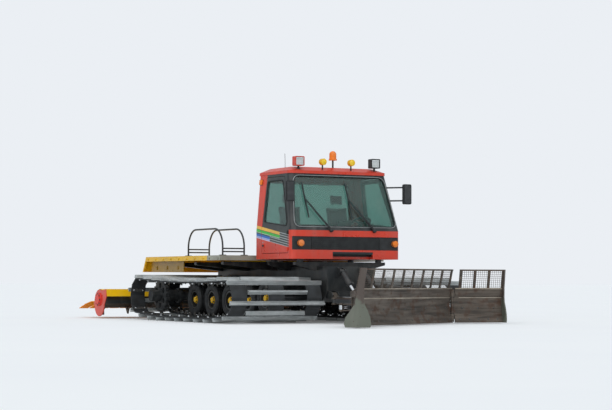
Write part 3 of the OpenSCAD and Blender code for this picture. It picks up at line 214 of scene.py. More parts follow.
# %% The painted steel recipe
def painted(name, colour, gloss=0.32, grime=0.35, chips=0.5, bare="#3A2C26", tread=0):
    """Sprayed enamel. colour is hex text, or a function that builds a colour socket."""
    material, shader, place = begin(name, IOR=1.5, Coat_Weight=0.15, Coat_Roughness=0.2)
    base = colour(place) if callable(colour) else linear(colour)
    cloud = between(waves(place, 650), 0.3, 0.7, 0.84, 1.04)
    grey = add(place, "CombineColor", {0: cloud, 1: cloud, 2: cloud}).outputs[0]
    shade = add(place, "Mix", {0: 1.0, 6: base, 7: grey}, data_type="RGBA", blend_type="MULTIPLY").outputs[2]
    film = between(waves(place, 160, 6, (1, 1, 0.35)), 0.45, 0.75, 0, grime)
    spots = between(waves(place, 38, 4), 0.68, 0.72, 0, chips)
    patches = between(waves(place, 70, 4), 0.42, 0.6, 0, 1.6 * chips)
    worn = maths("MAXIMUM", spots, maths("MULTIPLY", wear(place, 0.006), patches))
    dull = maths("MULTIPLY", maths("MAXIMUM", film, worn), 0.4)
    peel = bump(waves(place, 12, 2), 0.05, 0.001)
    surface = bump(maths("SUBTRACT", waves(place, 420, 2), worn), 0.25, 0.004, peel)
    if tread:
        studs = between(maths("MULTIPLY", ribs(place, tread, "X"), ribs(place, tread, "Y")), 0.35, 0.6)
        surface = bump(studs, 0.6, 0.004, surface)
    feed(shader, Base_Color=blend(worn, blend(film, shade, "#8C8880"), bare), Normal=surface,
         Roughness=maths("ADD", between(waves(place, 240, 4), 0.3, 0.7, gloss - 0.06, gloss + 0.1), dull))
    return material


yellow_enamel = painted("yellow_enamel", "#FAC400", grime=0.12, chips=0.8)
yellow_tread = painted("yellow_tread", "#F4BE06", grime=0.35, chips=0.8, tread=60)
grey_tread = painted("grey_tread", "#A8A898", gloss=0.4, grime=0.5, chips=0.8, tread=60)
# Yellow enamel drawn darker: painted shade for the side covers in the shadow of the deck's flange
shaded_yellow_enamel = painted("shaded_yellow_enamel", "#A67E00", grime=0.08, chips=0.8)
grey_enamel = painted("grey_enamel", "#A8A898", gloss=0.4, grime=0.5, chips=0.8)
black_enamel = painted("black_enamel", "#1D2123", gloss=0.4, grime=0.2, chips=0.5, bare="#45403A")


def boot_colour(place):
    """Olive on the blade's end boots, brown steel on the post above them."""
    height = add(place, "SeparateXYZ", {0: place}).outputs[2]
    edge = maths("ADD", height, between(waves(place, 90), 0.3, 0.7, -0.08, 0.08))
    return blend(between(edge, 0.34, 0.42), "#5E6256", "#4C413A")


olive_enamel = painted("olive_enamel", boot_colour, gloss=0.5, grime=0.4, chips=0.9, bare="#4A3A30")
print("painted steels:", yellow_enamel.name, grey_enamel.name, black_enamel.name, olive_enamel.name)

# %% [markdown]
# ## The cab's stripes
# Over the red enamel the real cab wears adhesive stripes that fall towards the front:
# yellow, green, blue and lilac at the rear, thin grey lines on black at the front. They
# are plain bands, so they are worked out from the distance below one sloping line, and
# two colour ramps with hard steps give the bands. Only faces that look outwards get them,
# while everything above them, edges and reveals too, is black.

# %% Red enamel with stripes
CAB_RED = "#DA3D24"
STRIPE_REAR = (1475, 1541)
STRIPE_FALL = 0.146
STRIPE_TALL = 196
COLOURED_BANDS = [(0, "#F7C04A"), (47, "#1F3A34"), (54, "#35C23C"), (92, "#B9CDB4"), (103, "#174B44"),
                  (122, "#1668C8"), (158, "#9FC4E8"), (168, "#A9A3DE"), (184, "#D8D2E4")]
THIN_LINES = [(37 * i + low, colour) for i in range(5) for low, colour in ((0, "#A9B0B0"), (12, "#2E3634"))]
THIN_LINES += [(184, "#A9B0B0")]


def bands(factor, table):
    """A colour ramp with hard steps at the table's distances below the line."""
    ramp = add(factor, "ValToRGB", {"Fac": factor})
    steps = ramp.color_ramp
    steps.interpolation = "CONSTANT"
    for i, (depth, colour) in enumerate(table):
        step = steps.elements[i] if i < 1 else steps.elements.new(depth / STRIPE_TALL)
        step.position, step.color = depth / STRIPE_TALL, linear(colour)
    steps.elements.remove(steps.elements[-1])
    return ramp.outputs["Color"]


def both(*tests):
    """1 where every test gives 1."""
    whole = tests[0]
    for test in tests[1:]:
        whole = maths("MULTIPLY", whole, test)
    return whole


def striped_red(place):
    """Red with the stripes below one line and the black door panel above it."""
    x, y, z = add(place, "SeparateXYZ", {0: place}).outputs
    sideways = add(place, "SeparateXYZ", {0: add(place, "NewGeometry").outputs["Normal"]}).outputs[0]
    side = maths("GREATER_THAN", maths("MULTIPLY", sideways, x), 0.65)
    fall = maths("MULTIPLY", maths("SUBTRACT", spot(STRIPE_REAR[0]), y), STRIPE_FALL)
    line = maths("SUBTRACT", STRIPE_REAR[1] / 1000, fall)
    below = maths("DIVIDE", maths("SUBTRACT", line, z), STRIPE_TALL / 1000)
    coloured = maths("GREATER_THAN", y, between(below, 0.55, 0.56, spot(610), spot(950)))
    picked = blend(coloured, bands(below, THIN_LINES), bands(below, COLOURED_BANDS))
    inside = both(maths("GREATER_THAN", below, 0.0), maths("LESS_THAN", below, 1.0))
    behind = maths("GREATER_THAN", y, spot(298))
    striped = blend(both(inside, side, behind), CAB_RED, picked)
    black = both(maths("LESS_THAN", below, 0.0), maths("LESS_THAN", y, spot(1240)), behind,
                 maths("GREATER_THAN", z, 1.2))
    return blend(black, striped, "#2A302E")


red_enamel = painted("red_enamel", striped_red, gloss=0.3, grime=0.15, chips=0.35)
plain_red_enamel = painted("plain_red_enamel", CAB_RED, gloss=0.3, grime=0.15, chips=0.35)
print("stripes are", STRIPE_TALL, "mm tall in", len(COLOURED_BANDS), "bands")

# %% [markdown]
# ## Bare and worn metals
# The blade is hot-rolled steel whose paint snow and gravel scoured off years ago: brown-grey,
# with streaks along its length where the load slid. Metals keep the default IOR. Track
# bars are extruded aluminium with dull scratched faces, and the rods are hard chrome.

# %% Scoured steel, aluminium, chrome and iron
def metal(name, light, dark, rust, roughness, streak, rusty=0.3, metallic=0.85, grain=(1, 1, 1)):
    """Bare metal whose streaks run along the axis that grain squeezes least."""
    material, shader, place = begin(name)
    lines = waves(place, streak, 5, grain)
    tone = blend(between(lines, 0.3, 0.7), dark, light)
    patches = between(waves(place, 120, 6), 0.5, 0.68, 0, rusty)
    rubbed = maths("MULTIPLY", wear(place, 0.005), 0.6)
    feed(shader, Base_Color=blend(rubbed, blend(patches, tone, rust), light),
         Metallic=maths("MULTIPLY", maths("SUBTRACT", 1.0, patches), metallic),
         Normal=bump(waves(place, 22, 5), 0.2, under=bump(lines, 0.3)),
         Roughness=maths("ADD", between(lines, 0.3, 0.7, roughness + 0.1, roughness - 0.08),
                         maths("MULTIPLY", patches, 0.35)))
    return material


scoured_steel = metal("scoured_steel", "#6C6258", "#3C3631", "#4A3122", 0.5, 60, 0.8, 0.45, (0.12, 0.12, 1))
polished_edge = metal("polished_edge", "#B4AA9A", "#837A6E", "#5A4636", 0.4, 40, 0.35, 0.7, (0.12, 0.12, 1))
track_aluminium = metal("track_aluminium", "#C2C6C6", "#8F9494", "#6E6A62", 0.45, 40, 0.25, 0.8, (0.15, 1, 1))
hard_chrome = metal("hard_chrome", "#E0E2E4", "#C4C8CC", "#8A8680", 0.14, 30, 0.08, 1.0)
cast_iron = metal("cast_iron", "#6A6A68", "#3E3E3C", "#5A4030", 0.6, 25, 0.4, 0.6)
print("metals:", scoured_steel.name, track_aluminium.name, hard_chrome.name, cast_iron.name)

# %% [markdown]
# ## Rubber and plastics
# Belts and tyres are carbon-black rubber that bleaches to grey where it is rubbed. Belt
# rubber also shows the weave of its cord plies, drawn at 16 mm instead of the real 3 mm so
# that it survives the distance. Lamp bodies and caps are moulded plastic.

# %% Rubber, plastic and seat cloth
def moulded(name, dark, light, roughness, blot=90, weave=0, bumps=0.15, **values):
    """Rubber or plastic out of a mould: two close tones, a soft bump and, where set, a weave."""
    material, shader, place = begin(name, IOR=1.5, **values)
    cloud = between(waves(place, blot, 5), 0.35, 0.7)
    if weave:
        grain = bump(ribs(place, weave, "DIAGONAL", 0.6), 0.25)
    else:
        grain = bump(waves(place, 9, 2), bumps, 0.001)
    feed(shader, Base_Color=blend(cloud, dark, light), Normal=grain,
         Roughness=between(waves(place, blot / 2, 4), 0.3, 0.7, roughness - 0.08, roughness + 0.08))
    return material


belt_rubber = moulded("belt_rubber", "#1E2020", "#34373A", 0.75, 140, weave=16)
tyre_rubber = moulded("tyre_rubber", "#1C1D1E", "#38393A", 0.7, 60)
black_plastic = moulded("black_plastic", "#191B1C", "#2C2F30", 0.5, 80)
grained_plastic = moulded("grained_plastic", "#2A2C2E", "#3A3C3E", 0.6, 60, bumps=0.4)
orange_plastic = moulded("orange_plastic", "#EE8806", "#FFA414", 0.7, 200, Specular_IOR_Level=0.12)
red_plastic = moulded("red_plastic", "#D23A30", "#E84A3E", 0.45, 120)
yellow_plastic = moulded("yellow_plastic", "#E0A800", "#F2C210", 0.4, 120)
sprocket_plastic = moulded("sprocket_plastic", "#26282A", "#4A4C4C", 0.55, 60)
seat_cloth = moulded("seat_cloth", "#1D1F24", "#33363D", 0.9, 50, weave=8, Sheen_Weight=0.3)
gasket_rubber = moulded("gasket_rubber", "#101212", "#222526", 0.6, 40)
filler_strip = moulded("filler_strip", "#9AA0A0", "#B8BCBA", 0.4, 80)
print("moulded finishes ready")

# %% [markdown]
# ## Glass and lamps
# The panes are laminated glass with a green-blue tint from iron in the glass. Real glass
# shows a tint only when it is mixed with see-through light, so the shader is a smooth
# surface over a tinted transmission. Lamp lenses are cast acrylic, amber, yellow or clear,
# with prisms moulded inside that scatter the light.

# %% Tinted glass and lens plastics
def see_through(name, tint, roughness, transmission, prism=0.0):
    """Glass or acrylic with a body colour, faint dirt and, for lenses, moulded prisms."""
    material, shader, place = begin(name, IOR=1.45, Transmission_Weight=transmission)
    dirt = between(waves(place, 260, 6), 0.45, 0.8, 0, 0.25)
    feed(shader, Base_Color=blend(dirt, tint, "#B8BDB8"),
         Roughness=between(dirt, 0, 0.25, roughness, roughness + 0.25))
    if prism:
        feed(shader, Normal=bump(ribs(place, prism), 0.5, 0.003))
    return material


tinted_glass = see_through("tinted_glass", "#8FB5AC", 0.03, 0.92)
amber_acrylic = see_through("amber_acrylic", "#FF8400", 0.15, 0.1, prism=14)
yellow_acrylic = see_through("yellow_acrylic", "#FFD400", 0.15, 0.1, prism=14)
clear_acrylic = see_through("clear_acrylic", "#E6EAEA", 0.08, 0.3, prism=18)
mirror_glass = metal("mirror_glass", "#DDE2E4", "#CBD2D4", "#B0B4B4", 0.05, 300, 0.05, 1.0)
print("glass and lenses ready")

# %% [markdown]
# ## Dressing the solids
# Each solid takes the finish of the real piece it stands for. The table goes by the
# record's own slots first, and by name where one slot covers two finishes.

# %% Finishes for the solids
FINISH_BY_SLOT = {
    "amber_plastic": amber_acrylic, "black_paint": black_enamel, "black_plastic": black_plastic,
    "cast_iron": cast_iron, "chrome_rod": hard_chrome, "glass": tinted_glass, "grey_paint": grey_enamel,
    "orange_plastic": orange_plastic, "red_paint": red_enamel, "red_plastic": red_plastic,
    "rubber": tyre_rubber, "seat_cloth": seat_cloth, "track_rubber": belt_rubber,
    "worn_steel": scoured_steel, "yellow_paint": yellow_enamel,
}
FINISH_BY_NAME = {"cab_roof": plain_red_enamel, "drive_sprockets": sprocket_plastic,
                  "cab_console": grained_plastic}
for part in frame["record"]["subparts"]:
    name = part["node"]
    finish = FINISH_BY_NAME.get(name, FINISH_BY_SLOT[part["material_slot"]])
    nodes[name].data.materials.clear()
    nodes[name].data.materials.append(finish)
print("dressed", len(nodes), "solids")

# %% [markdown]
# Some solids wear two finishes, such as the beacon's amber dome on its black stem. A mesh
# can hold several materials, so a face's centre decides which one it takes.

# %% Second finishes on single faces
def refinish(name, finish, test):
    """Gives another finish to those faces of a solid whose centre passes the test."""
    mesh = nodes[name].data
    mesh.materials.append(finish)
    faces = [face for face in mesh.polygons if test(face.center)]
    for face in faces:
        face.material_index = len(mesh.materials) - 1
    print(name, "takes", finish.name, "on", len(faces), "faces")


beacon_top = max(corner.co.z for corner in nodes["roof_beacon"].data.vertices)
PLATE_Z = 1.0595
refinish("roof_beacon", black_plastic, lambda centre: centre.z < beacon_top - 0.165)
refinish("roof_lamps", plain_red_enamel, lambda centre: centre.x < -0.58 and centre.z > 2.45)
refinish("roof_lamps", yellow_plastic, lambda centre: abs(centre.x) < 0.35 and centre.z > 2.465)
refinish("tiller_frame", plain_red_enamel, lambda centre: abs(centre.x) > 2.314)
refinish("tiller_frame", yellow_enamel,
         lambda centre: abs(centre.x) < 2.3 and spot(4460) < centre.y < spot(4560) and 0.37 < centre.z < 0.51)
refinish("tiller_hood", black_enamel, lambda centre: centre.y < spot(4700) and centre.z < 0.45)
refinish("deck_bed", yellow_tread, lambda centre: centre.z > PLATE_Z)
# The side covers take the darker yellow, which is painted shade under the deck's flange
refinish("deck_bed", shaded_yellow_enamel, lambda centre: 1.405 < abs(centre.x) < 1.425 and centre.z < 1)
refinish("deck_front", grey_tread, lambda centre: centre.z > PLATE_Z)

# %% [markdown]
# ## Tools for modelling
# New pieces start as a primitive, are shaped in edit mode, and end with their place inside
# their mesh, as the solids have it. A few short helpers keep those steps readable: one
# leaves a single piece selected, one adds a primitive, one picks faces by their place.

# %% Modelling helpers
UP, LEFT, BACK = (0, 0, 1), (1, 0, 0), (0, 1, 0)


def only(piece):
    """Leaves just this piece selected and active."""
    bpy.ops.object.select_all(action="DESELECT")
    piece.select_set(True)
    bpy.context.view_layer.objects.active = piece


def primitive(kind, name, **sizes):
    """Adds one of Blender's mesh primitives under a name of our own."""
    bpy.ops.object.select_all(action="DESELECT")
    getattr(bpy.ops.mesh, "primitive_" + kind + "_add")(**sizes)
    piece = bpy.context.object
    piece.name = piece.data.name = name
    return piece


def twin(piece, name):
    """A copy of the piece with a mesh of its own."""
    copy = bpy.data.objects.new(name, piece.data.copy())
    bpy.context.scene.collection.objects.link(copy)
    return copy


def join(pieces, name):
    """Makes several pieces one."""
    only(pieces[0])
    for piece in pieces[1:]:
        piece.select_set(True)
    bpy.ops.object.join()
    bpy.context.object.name = name
    return bpy.context.object


def edit(piece, everything):
    """Opens edit mode with everything selected, or nothing."""
    only(piece)
    bpy.ops.object.mode_set(mode="EDIT")
    bpy.ops.mesh.select_all(action="SELECT" if everything else "DESELECT")


def leave():
    """Back to object mode."""
    bpy.ops.object.mode_set(mode="OBJECT")


def pick(piece, test):
    """Opens edit mode with only those faces selected whose centre and normal pass the test."""
    edit(piece, False)
    bpy.ops.mesh.select_mode(type="FACE")
    for face in bmesh.from_edit_mesh(piece.data).faces:
        face.select_set(bool(test(face.calc_center_median(), face.normal)))
    bmesh.update_edit_mesh(piece.data)


def press(piece, way, *steps):
    """Insets the faces that look one way, and moves them along it, once for each pair."""
    way = Vector(way)
    pick(piece, lambda centre, normal: normal.dot(way) > 0.9)
    for width, move in steps:
        bpy.ops.mesh.inset(thickness=width)
        bpy.ops.transform.translate(value=way * move)
    leave()
    return piece


def resize(piece, way, factors):
    """Scales the faces that look one way."""
    pick(piece, lambda centre, normal: normal.dot(Vector(way)) > 0.9)
    bpy.ops.transform.resize(value=factors)
    leave()


def bake_place():
    """Moves the active piece's place, turn and size into its mesh."""
    bpy.ops.object.transform_apply(location=True, rotation=True, scale=True)


def soften(piece, width, segments=2):
    """Rounds every sharp edge by so many metres."""
    only(piece)
    rounding = piece.modifiers.new("Rounding", "BEVEL")
    rounding.width, rounding.segments, rounding.limit_method = width, segments, "ANGLE"
    bpy.ops.object.modifier_apply(modifier=rounding.name)
    return piece


def cube(name, size, middle=(0, 0, 0)):
    """A sharp block of a size in metres."""
    piece = primitive("cube", name, size=1, location=middle)
    piece.scale = size
    bake_place()
    return piece


def block(name, low, high, width=0.004, segments=2):
    """A block between two corners, with rounded edges."""
    low, high = Vector(low), Vector(high)
    return soften(cube(name, high - low, (low + high) / 2), width, segments)


def spread(piece, places):
    """Copies the piece's mesh to each place and joins the copies as one mesh."""
    pattern = piece.data.copy()
    pattern.transform(piece.matrix_basis)
    whole = bmesh.new()
    for place in places:
        one = pattern.copy()
        one.transform(place)
        whole.from_mesh(one)
        bpy.data.meshes.remove(one)
    whole.to_mesh(piece.data)
    whole.free()
    piece.matrix_basis = Matrix()
    return piece


def settle(piece, finish, place=Matrix(), body="chassis", angle=35, tidy=True):
    """Puts the place into the mesh, turns its faces outwards, and gives it finish and body."""
    piece.data.transform(place @ piece.matrix_basis)
    piece.matrix_basis = Matrix()
    only(piece)
    if tidy:
        edit(piece, True)
        bpy.ops.mesh.remove_doubles(threshold=0.00002)
        bpy.ops.mesh.normals_make_consistent(inside=False)
        leave()
    bpy.ops.object.shade_smooth_by_angle(angle=math.radians(angle))
    piece.data.materials.clear()
    piece.data.materials.append(finish)
    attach(piece, body)
    return piece


def arced(points, radius, steps=4, closed=False):
    """The line through the points with its corners rounded off."""
    line = []
    count = len(points)
    for i, point in enumerate(points):
        point = Vector(point)
        if not closed and i in (0, count - 1):
            line.append(point)
            continue
        before, after = Vector(points[i - 1]) - point, Vector(points[(i + 1) % count]) - point
        reach = min(radius, before.length / 2.1, after.length / 2.1)
        start, end = point + before.normalized() * reach, point + after.normalized() * reach
        for step in range(steps + 1):
            t = step / steps
            line.append(start * (1 - t) ** 2 + point * 2 * t * (1 - t) + end * t ** 2)
    return line


def tube(name, points, radius, closed=False, sides=2):
    """A round bar or gasket along a line, made as a curve with thickness and then a mesh."""
    curve = bpy.data.curves.new(name, "CURVE")
    curve.dimensions, curve.bevel_depth, curve.bevel_resolution = "3D", radius, sides
    curve.use_fill_caps = not closed
    spline = curve.splines.new("POLY")
    spline.points.add(len(points) - 1)
    for knot, point in zip(spline.points, points):
        knot.co = (*point, 1)
    spline.use_cyclic_u = closed
    piece = bpy.data.objects.new(name, curve)
    bpy.context.scene.collection.objects.link(piece)
    only(piece)
    bpy.ops.object.convert(target="MESH")
    bpy.context.object.name = name
    return bpy.context.object


def hexagon_bolt(name, size=0.019, height=0.008):
    """A bolt's head standing on XY: a hexagon on a washer, its top edge chamfered."""
    head = primitive("cylinder", name, vertices=6, radius=size / 2 / math.cos(math.pi / 6),
                     depth=height, location=(0, 0, height / 2 + 0.002))
    press(head, UP, (size * 0.1, height * 0.15))
    only(head)
    bake_place()
    edit(head, False)
    bpy.ops.mesh.primitive_cylinder_add(vertices=10, radius=size * 0.75, depth=0.003, location=(0, 0, 0.0012))
    leave()
    return head


def bolt_circle(name, size, height, faces, count, radius, out=0.0, first=0, **rest):
    """Bolt heads in a circle round each face's own Z axis."""
    places = [face @ spin_about("Z", first + 360 / count * i) @ shift(radius, 0, out)
              for face in faces for i in range(count)]
    return settle(spread(hexagon_bolt(name, size, height), places), cast_iron, **rest)


print("helpers ready; a bolt's head stands on XY")

# %% [markdown]
# ## The track's line
# A track is a closed loop round the idler in front, four road wheels and the sprocket at
# the back. Its line is worked out the way the solids were: tangents below, an arc round each
# end wheel, and a hanging upper run. Bars stand along it, so bolts and guides can too.

# %% Where the bars stand
IDLER = (330, 385, 255)
SPROCKET = (3790, 400, 275)
FIRST_ROAD, ROAD_SPAN = 930, 2020
ROAD_Y = [FIRST_ROAD + i * ROAD_SPAN / 3 for i in range(4)]
ROAD_Z, TYRE_R, TYRE_W = 340, 265, 200
BELT_T, BELT_W, BELT_EDGE = 20, 250, 40
TRACK_MID, TRACK_W = 1275, 1600
SAG, ARC_STEPS, SAG_STEPS, BAR_PITCH = 40, 5, 4, 178
BELT_X = [TRACK_MID + i * (TRACK_W / 2 - BELT_EDGE - BELT_W / 2) for i in (-1, 0, 1)]


def turn_points(wheel, start, end, steps):
    """Corners of a line that touches the wheel between two directions in degrees."""
    half = math.radians((end - start) / steps / 2)
    angles = [math.radians(start) + half * (2 * i + 1) for i in range(steps)]
    reach = (wheel[2] + BELT_T) / math.cos(half)
    return [Vector((wheel[0] + reach * math.cos(a), wheel[1] + reach * math.sin(a))) for a in angles]


def ramp_angle(first, second):
    """Direction in which the lower common tangent touches both wheels."""
    dy, dz = second[0] - first[0], second[1] - first[1]
    return 360 + math.degrees(math.atan2(dz, dy) - math.acos((first[2] - second[2]) / math.hypot(dy, dz)))


first_road, last_road = (ROAD_Y[0], ROAD_Z, TYRE_R), (ROAD_Y[-1], ROAD_Z, TYRE_R)
front_ramp, rear_ramp = ramp_angle(IDLER, first_road), ramp_angle(last_road, SPROCKET)
belt_line = (turn_points(IDLER, 90, front_ramp, ARC_STEPS) + turn_points(first_road, front_ramp, 270, 1)
             + turn_points(last_road, 270, rear_ramp, 1) + turn_points(SPROCKET, rear_ramp, 450, ARC_STEPS))
for i in range(SAG_STEPS + 1):
    u = i / SAG_STEPS
    belt_line.append(Vector((SPROCKET[0] * (1 - u) + IDLER[0] * u, BELT_T - SAG * 4 * u * (1 - u)
                             + (SPROCKET[1] + SPROCKET[2]) * (1 - u) + (IDLER[1] + IDLER[2]) * u)))
steps = [belt_line[(i + 1) % len(belt_line)] - point for i, point in enumerate(belt_line)]
runs = [sum(step.length for step in steps[:i]) for i in range(len(steps) + 1)]
bars = []
for low, high in zip(runs[:2 * ARC_STEPS + 2], runs[1:2 * ARC_STEPS + 2] + [runs[-1]]):
    count = round((high - low) / BAR_PITCH)
    for j in range(count):
        s = low + (high - low) * (j + 0.5) / count
        i = max(k for k in range(len(steps)) if runs[k] < s)
        way = steps[i].normalized()
        bars.append((belt_line[i] + way * (s - runs[i]), way))


def on_track(side, x, bar, lift):
    """Stands a piece on the belt: its Z points away from the loop and its Y along the belt."""
    foot, way = bars[bar]
    out = Vector((0, way.y, -way.x))
    along = Vector((0, way.x, way.y))
    place = Matrix((along.cross(out), along, out)).transposed().to_4x4()
    place.translation = at(side * x, foot.x, foot.y) + out * lift / 1000
    return place


print("bars on one track:", len(bars), "belts at", BELT_X)

# %% [markdown]
# The cross bars are aluminium and the belts rubber, but each track is one solid. A mesh may
# hold several materials, so each face is told which one it takes: a face belongs to a bar if
# one of its corners stands clear of the belt's line, or if it lies between two belts.

# %% Aluminium bars on rubber belts
def height_above_belt(point):
    """Millimetres from a place out to the belt's outer line."""
    flat = Vector(((point.y + TRACK_FRONT) * 1000, point.z * 1000))
    nearest = None
    for start, step in zip(belt_line, steps):
        t = max(0, min(1, (flat - start).dot(step) / step.length_squared))
        gap = flat - start - step * t
        if nearest is None or gap.length < abs(nearest):
            nearest = gap.length * (1 if gap.dot(Vector((step.y, -step.x))) > 0 else -1)
    return nearest


for name in ("track_right", "track_left"):
    mesh = nodes[name].data
    mesh.materials.append(track_aluminium)
    heights = [height_above_belt(corner.co) for corner in mesh.vertices]
    for face in mesh.polygons:
        middle = abs(face.center.x) * 1000
        between_belts = min(abs(middle - x) for x in BELT_X) > BELT_W / 2 + 1
        if max(heights[v] for v in face.vertices) > 8 or between_belts:
            face.material_index = 1
    print(name, "bar faces:", sum(face.material_index for face in mesh.polygons))

# %% [markdown]
# Each bar is clamped to a belt by a steel plate inside the loop with two bolts, and on
# the middle belt two fins beside the tyre keep the track in line. Each is modelled once.

# %% Clamp plates, guides and bolts
PLATE_LOW, FIN_LIFT = -0.0285, -52
plate = block("clamp_plate", (-0.11, -0.026, PLATE_LOW), (0.11, 0.026, -0.0205), 0.003, 1)
nut = hexagon_bolt("clamp_bolt", 0.022, 0.01)
spread(nut, [shift(x, 0, PLATE_LOW) @ spin_about("X", 180) for x in (-0.08, 0.08)])
fin = cube("guide_fin", (0.012, 0.1, 0.05))
resize(fin, (0, 0, -1), (0.8, 0.35, 1))
soften(fin, 0.003, 1)
beside = TYRE_W / 2 + 16
for side, word in SIDES:
    everywhere = [on_track(side, x, b, 0) for b in range(len(bars)) for x in BELT_X
                  if b % 2 == 0 or x == TRACK_MID]
    fins = [on_track(side, TRACK_MID + d, b, FIN_LIFT) for b in range(len(bars)) for d in (-beside, beside)]
    for pattern, label, finish, places in ((plate, "clamp_plates_", cast_iron, everywhere),
                                           (nut, "clamp_bolts_", hard_chrome, everywhere),
                                           (fin, "guide_fins_", cast_iron, fins)):
        settle(spread(twin(pattern, label + word), places), finish, tidy=False)
for piece in (plate, nut, fin):
    bpy.data.objects.remove(piece)
print("track fittings on", len(bars), "bars a side")

# %% [markdown]
# ## Tyres
# The road wheels and the idler run on foam-filled rubber tyres with four grooves round
# the tread and a round shoulder. Half of a section is typed in, mirrored and spun round the
# axle with the spin operator. It keeps the outline of the plain rings that it replaces.

# %% Spin the tyres
def tyre(name, radius, place):
    """One tyre about the X axis at a place in metres."""
    rim, r, half = 0.1535, radius / 1000, TYRE_W / 2000
    side = [(rim, 0.0), (rim, half * 0.72), (rim + 0.012, half * 0.9), (r - 0.06, half),
            (r - 0.025, half * 0.98), (r - 0.008, half * 0.88), (r, half * 0.74)]
    for middle in (0.56, 0.2):
        side += [(r, half * (middle + 0.07)), (r - 0.012, half * (middle + 0.05)),
                 (r - 0.012, half * (middle - 0.05)), (r, half * (middle - 0.07))]
    section = side + [(z, -x) for z, x in reversed(side[1:])]
    piece = primitive("circle", name, vertices=len(section), radius=1, fill_type="NOTHING")
    for corner, (z, x) in zip(piece.data.vertices, section):
        corner.co = (x, 0, z)
    edit(piece, True)
    bpy.ops.mesh.spin(steps=64, angle=math.tau, center=(0, 0, 0), axis=LEFT)
    leave()
    return settle(piece, tyre_rubber, shift(*place))


tyres = []
for side, word in SIDES:
    tyres.append(tyre("idler_tyre_" + word, IDLER[2], at(side * TRACK_MID, IDLER[0], IDLER[1])))
    for i, y in enumerate(ROAD_Y):
        tyres.append(tyre(f"road_tyre_{word}_{i + 1}", TYRE_R, at(side * TRACK_MID, y, ROAD_Z)))
for piece in tyres:
    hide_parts("road_tyres")
print("tyres:", len(tyres), "with", len(tyres[0].data.polygons), "faces each")

# %% [markdown]
# The wheels are pressed steel. Faces farther than the hub from an axle are drawn black,
# and only the hubs keep their yellow paint. Each hub gets a
# domed cap held by six bolts, with the rim bolts on a wider circle.

# %% Black rims, hub caps and bolts
HUB_R = 0.068
axles = [at(side * TRACK_MID, y, z) for side, word in SIDES
         for y, z in [IDLER[:2]] + [(y, ROAD_Z) for y in ROAD_Y]]
mesh = nodes["road_wheels"].data
# Rims darker than the yellow paint: black beyond the hub's radius, yellow near the axle
mesh.materials.append(black_enamel)
for face in mesh.polygons:
    reach = min(math.hypot(face.center.y - a.y, face.center.z - a.z) for a in axles)
    face.material_index = 1 if reach > HUB_R else 0
cap = primitive("cylinder", "hub_caps", vertices=32, radius=0.046, depth=0.016, location=(0, 0, 0.008))
press(cap, UP, (0.012, 0.008), (0.012, 0.004))
outward = [shift(*axle) @ spin_about("Y", 90 * (1 if axle.x > 0 else -1)) for axle in axles]
settle(spread(soften(cap, 0.002), [turn @ shift(0, 0, 0.062) for turn in outward]), yellow_enamel)
bolt_circle("hub_bolts", 0.016, 0.007, outward, 6, 0.054, 0.0618)
bolt_circle("wheel_bolts", 0.02, 0.009, outward, 5, 0.098, 0.009, 36)
print("hub caps on", len(axles), "wheels")

# %% [markdown]
# ## The blade
# The blade hangs on a kingpin 850 mm ahead of the tracks and is parked 27 degrees round;
# each wing is folded 38 degrees forward. Parts are modelled square to the machine, with
# the blade's own left as X, and one matrix then carries them to the parked place.

# %% Places on the blade
HALF_BLADE, HINGE_Y, WING_W = 1350, -455, 850
BLADE_SOLID, BLADE_TOP, BLADE_LOW = 555, 840, 15
ARC_R, ARC_MID = 870, 300
ARC_Y = -480 - math.sqrt(ARC_R ** 2 - (ARC_MID - BLADE_LOW) ** 2)
GRILLE_LEAN, GRILLE_TRIM, POST_W = 60, 60, 44
on_blade = put(0, -850, 0) @ spin_about("Z", 27)


def on_wing(side):
    """The wing's own frame, its hinge at the origin; the right wing is a mirror image."""
    return on_blade @ mirror(side) @ shift(HALF_BLADE / 1000, HINGE_Y / 1000, 0) @ spin_about("Z", -38)


def face_y(z):
    """How far back the blade's hollow face lies at a height, in its own millimetres."""
    return ARC_Y + math.sqrt(ARC_R ** 2 - (z - ARC_MID) ** 2)


def face_tilt(z):
    """Lean of the face at a height, as degrees to turn a piece about X."""
    return math.degrees(math.asin((z - ARC_MID) / ARC_R))


inner = HALF_BLADE - 40
grille_y = face_y(BLADE_SOLID)
SECTIONS = [("", 0, "blade", on_blade, -inner, inner)]  # ending, hinge, body, place, right and left end
SECTIONS += [("_wing_" + word, HINGE_Y, "wing_" + word, on_wing(side), 40, WING_W - 22)
             for side, word in SIDES]
print("face at the edge:", round(face_y(BLADE_LOW)), "and at the top plate:", round(grille_y))

# %% [markdown]
# Behind the windows of the grille a welded mesh keeps snow from falling over the top. Its
# wires are 5 mm thick and 32 mm apart. One upright and one level wire are repeated.

# %% Wire mesh in the grille
MESH_PITCH, WIRE = 32, 0.0026
rise = Vector((0, -GRILLE_LEAN, BLADE_TOP - BLADE_SOLID)) / 1000
lean = math.degrees(math.atan2(GRILLE_LEAN, BLADE_TOP - BLADE_SOLID))


def wire_mesh(name, x0, x1, y0, place, body):
    """Crossing wires between two ends of a grille that leans forward from y0."""
    wide = x1 - x0
    upright = primitive("cylinder", name, vertices=6, radius=WIRE, depth=rise.length)
    count = int(wide // MESH_PITCH)
    foot = Vector((x0, y0 + 10, BLADE_SOLID)) / 1000
    spread(upright, [shift(*(foot + Vector((wide * (i + 0.5) / count / 1000, 0, 0)) + rise / 2))
                     @ spin_about("X", lean) for i in range(count)])
    level = primitive("cylinder", name + "_level", vertices=6, radius=WIRE, depth=wide / 1000,
                      rotation=(0, math.radians(90), 0))
    rows = int(rise.length * 1000 // MESH_PITCH)
    middle = foot + Vector((wide / 2000, 0.004, 0))
    spread(level, [shift(*(middle + rise * (j + 0.5) / rows)) for j in range(rows)])
    return settle(join([upright, level], name), scoured_steel, place, body, tidy=False)


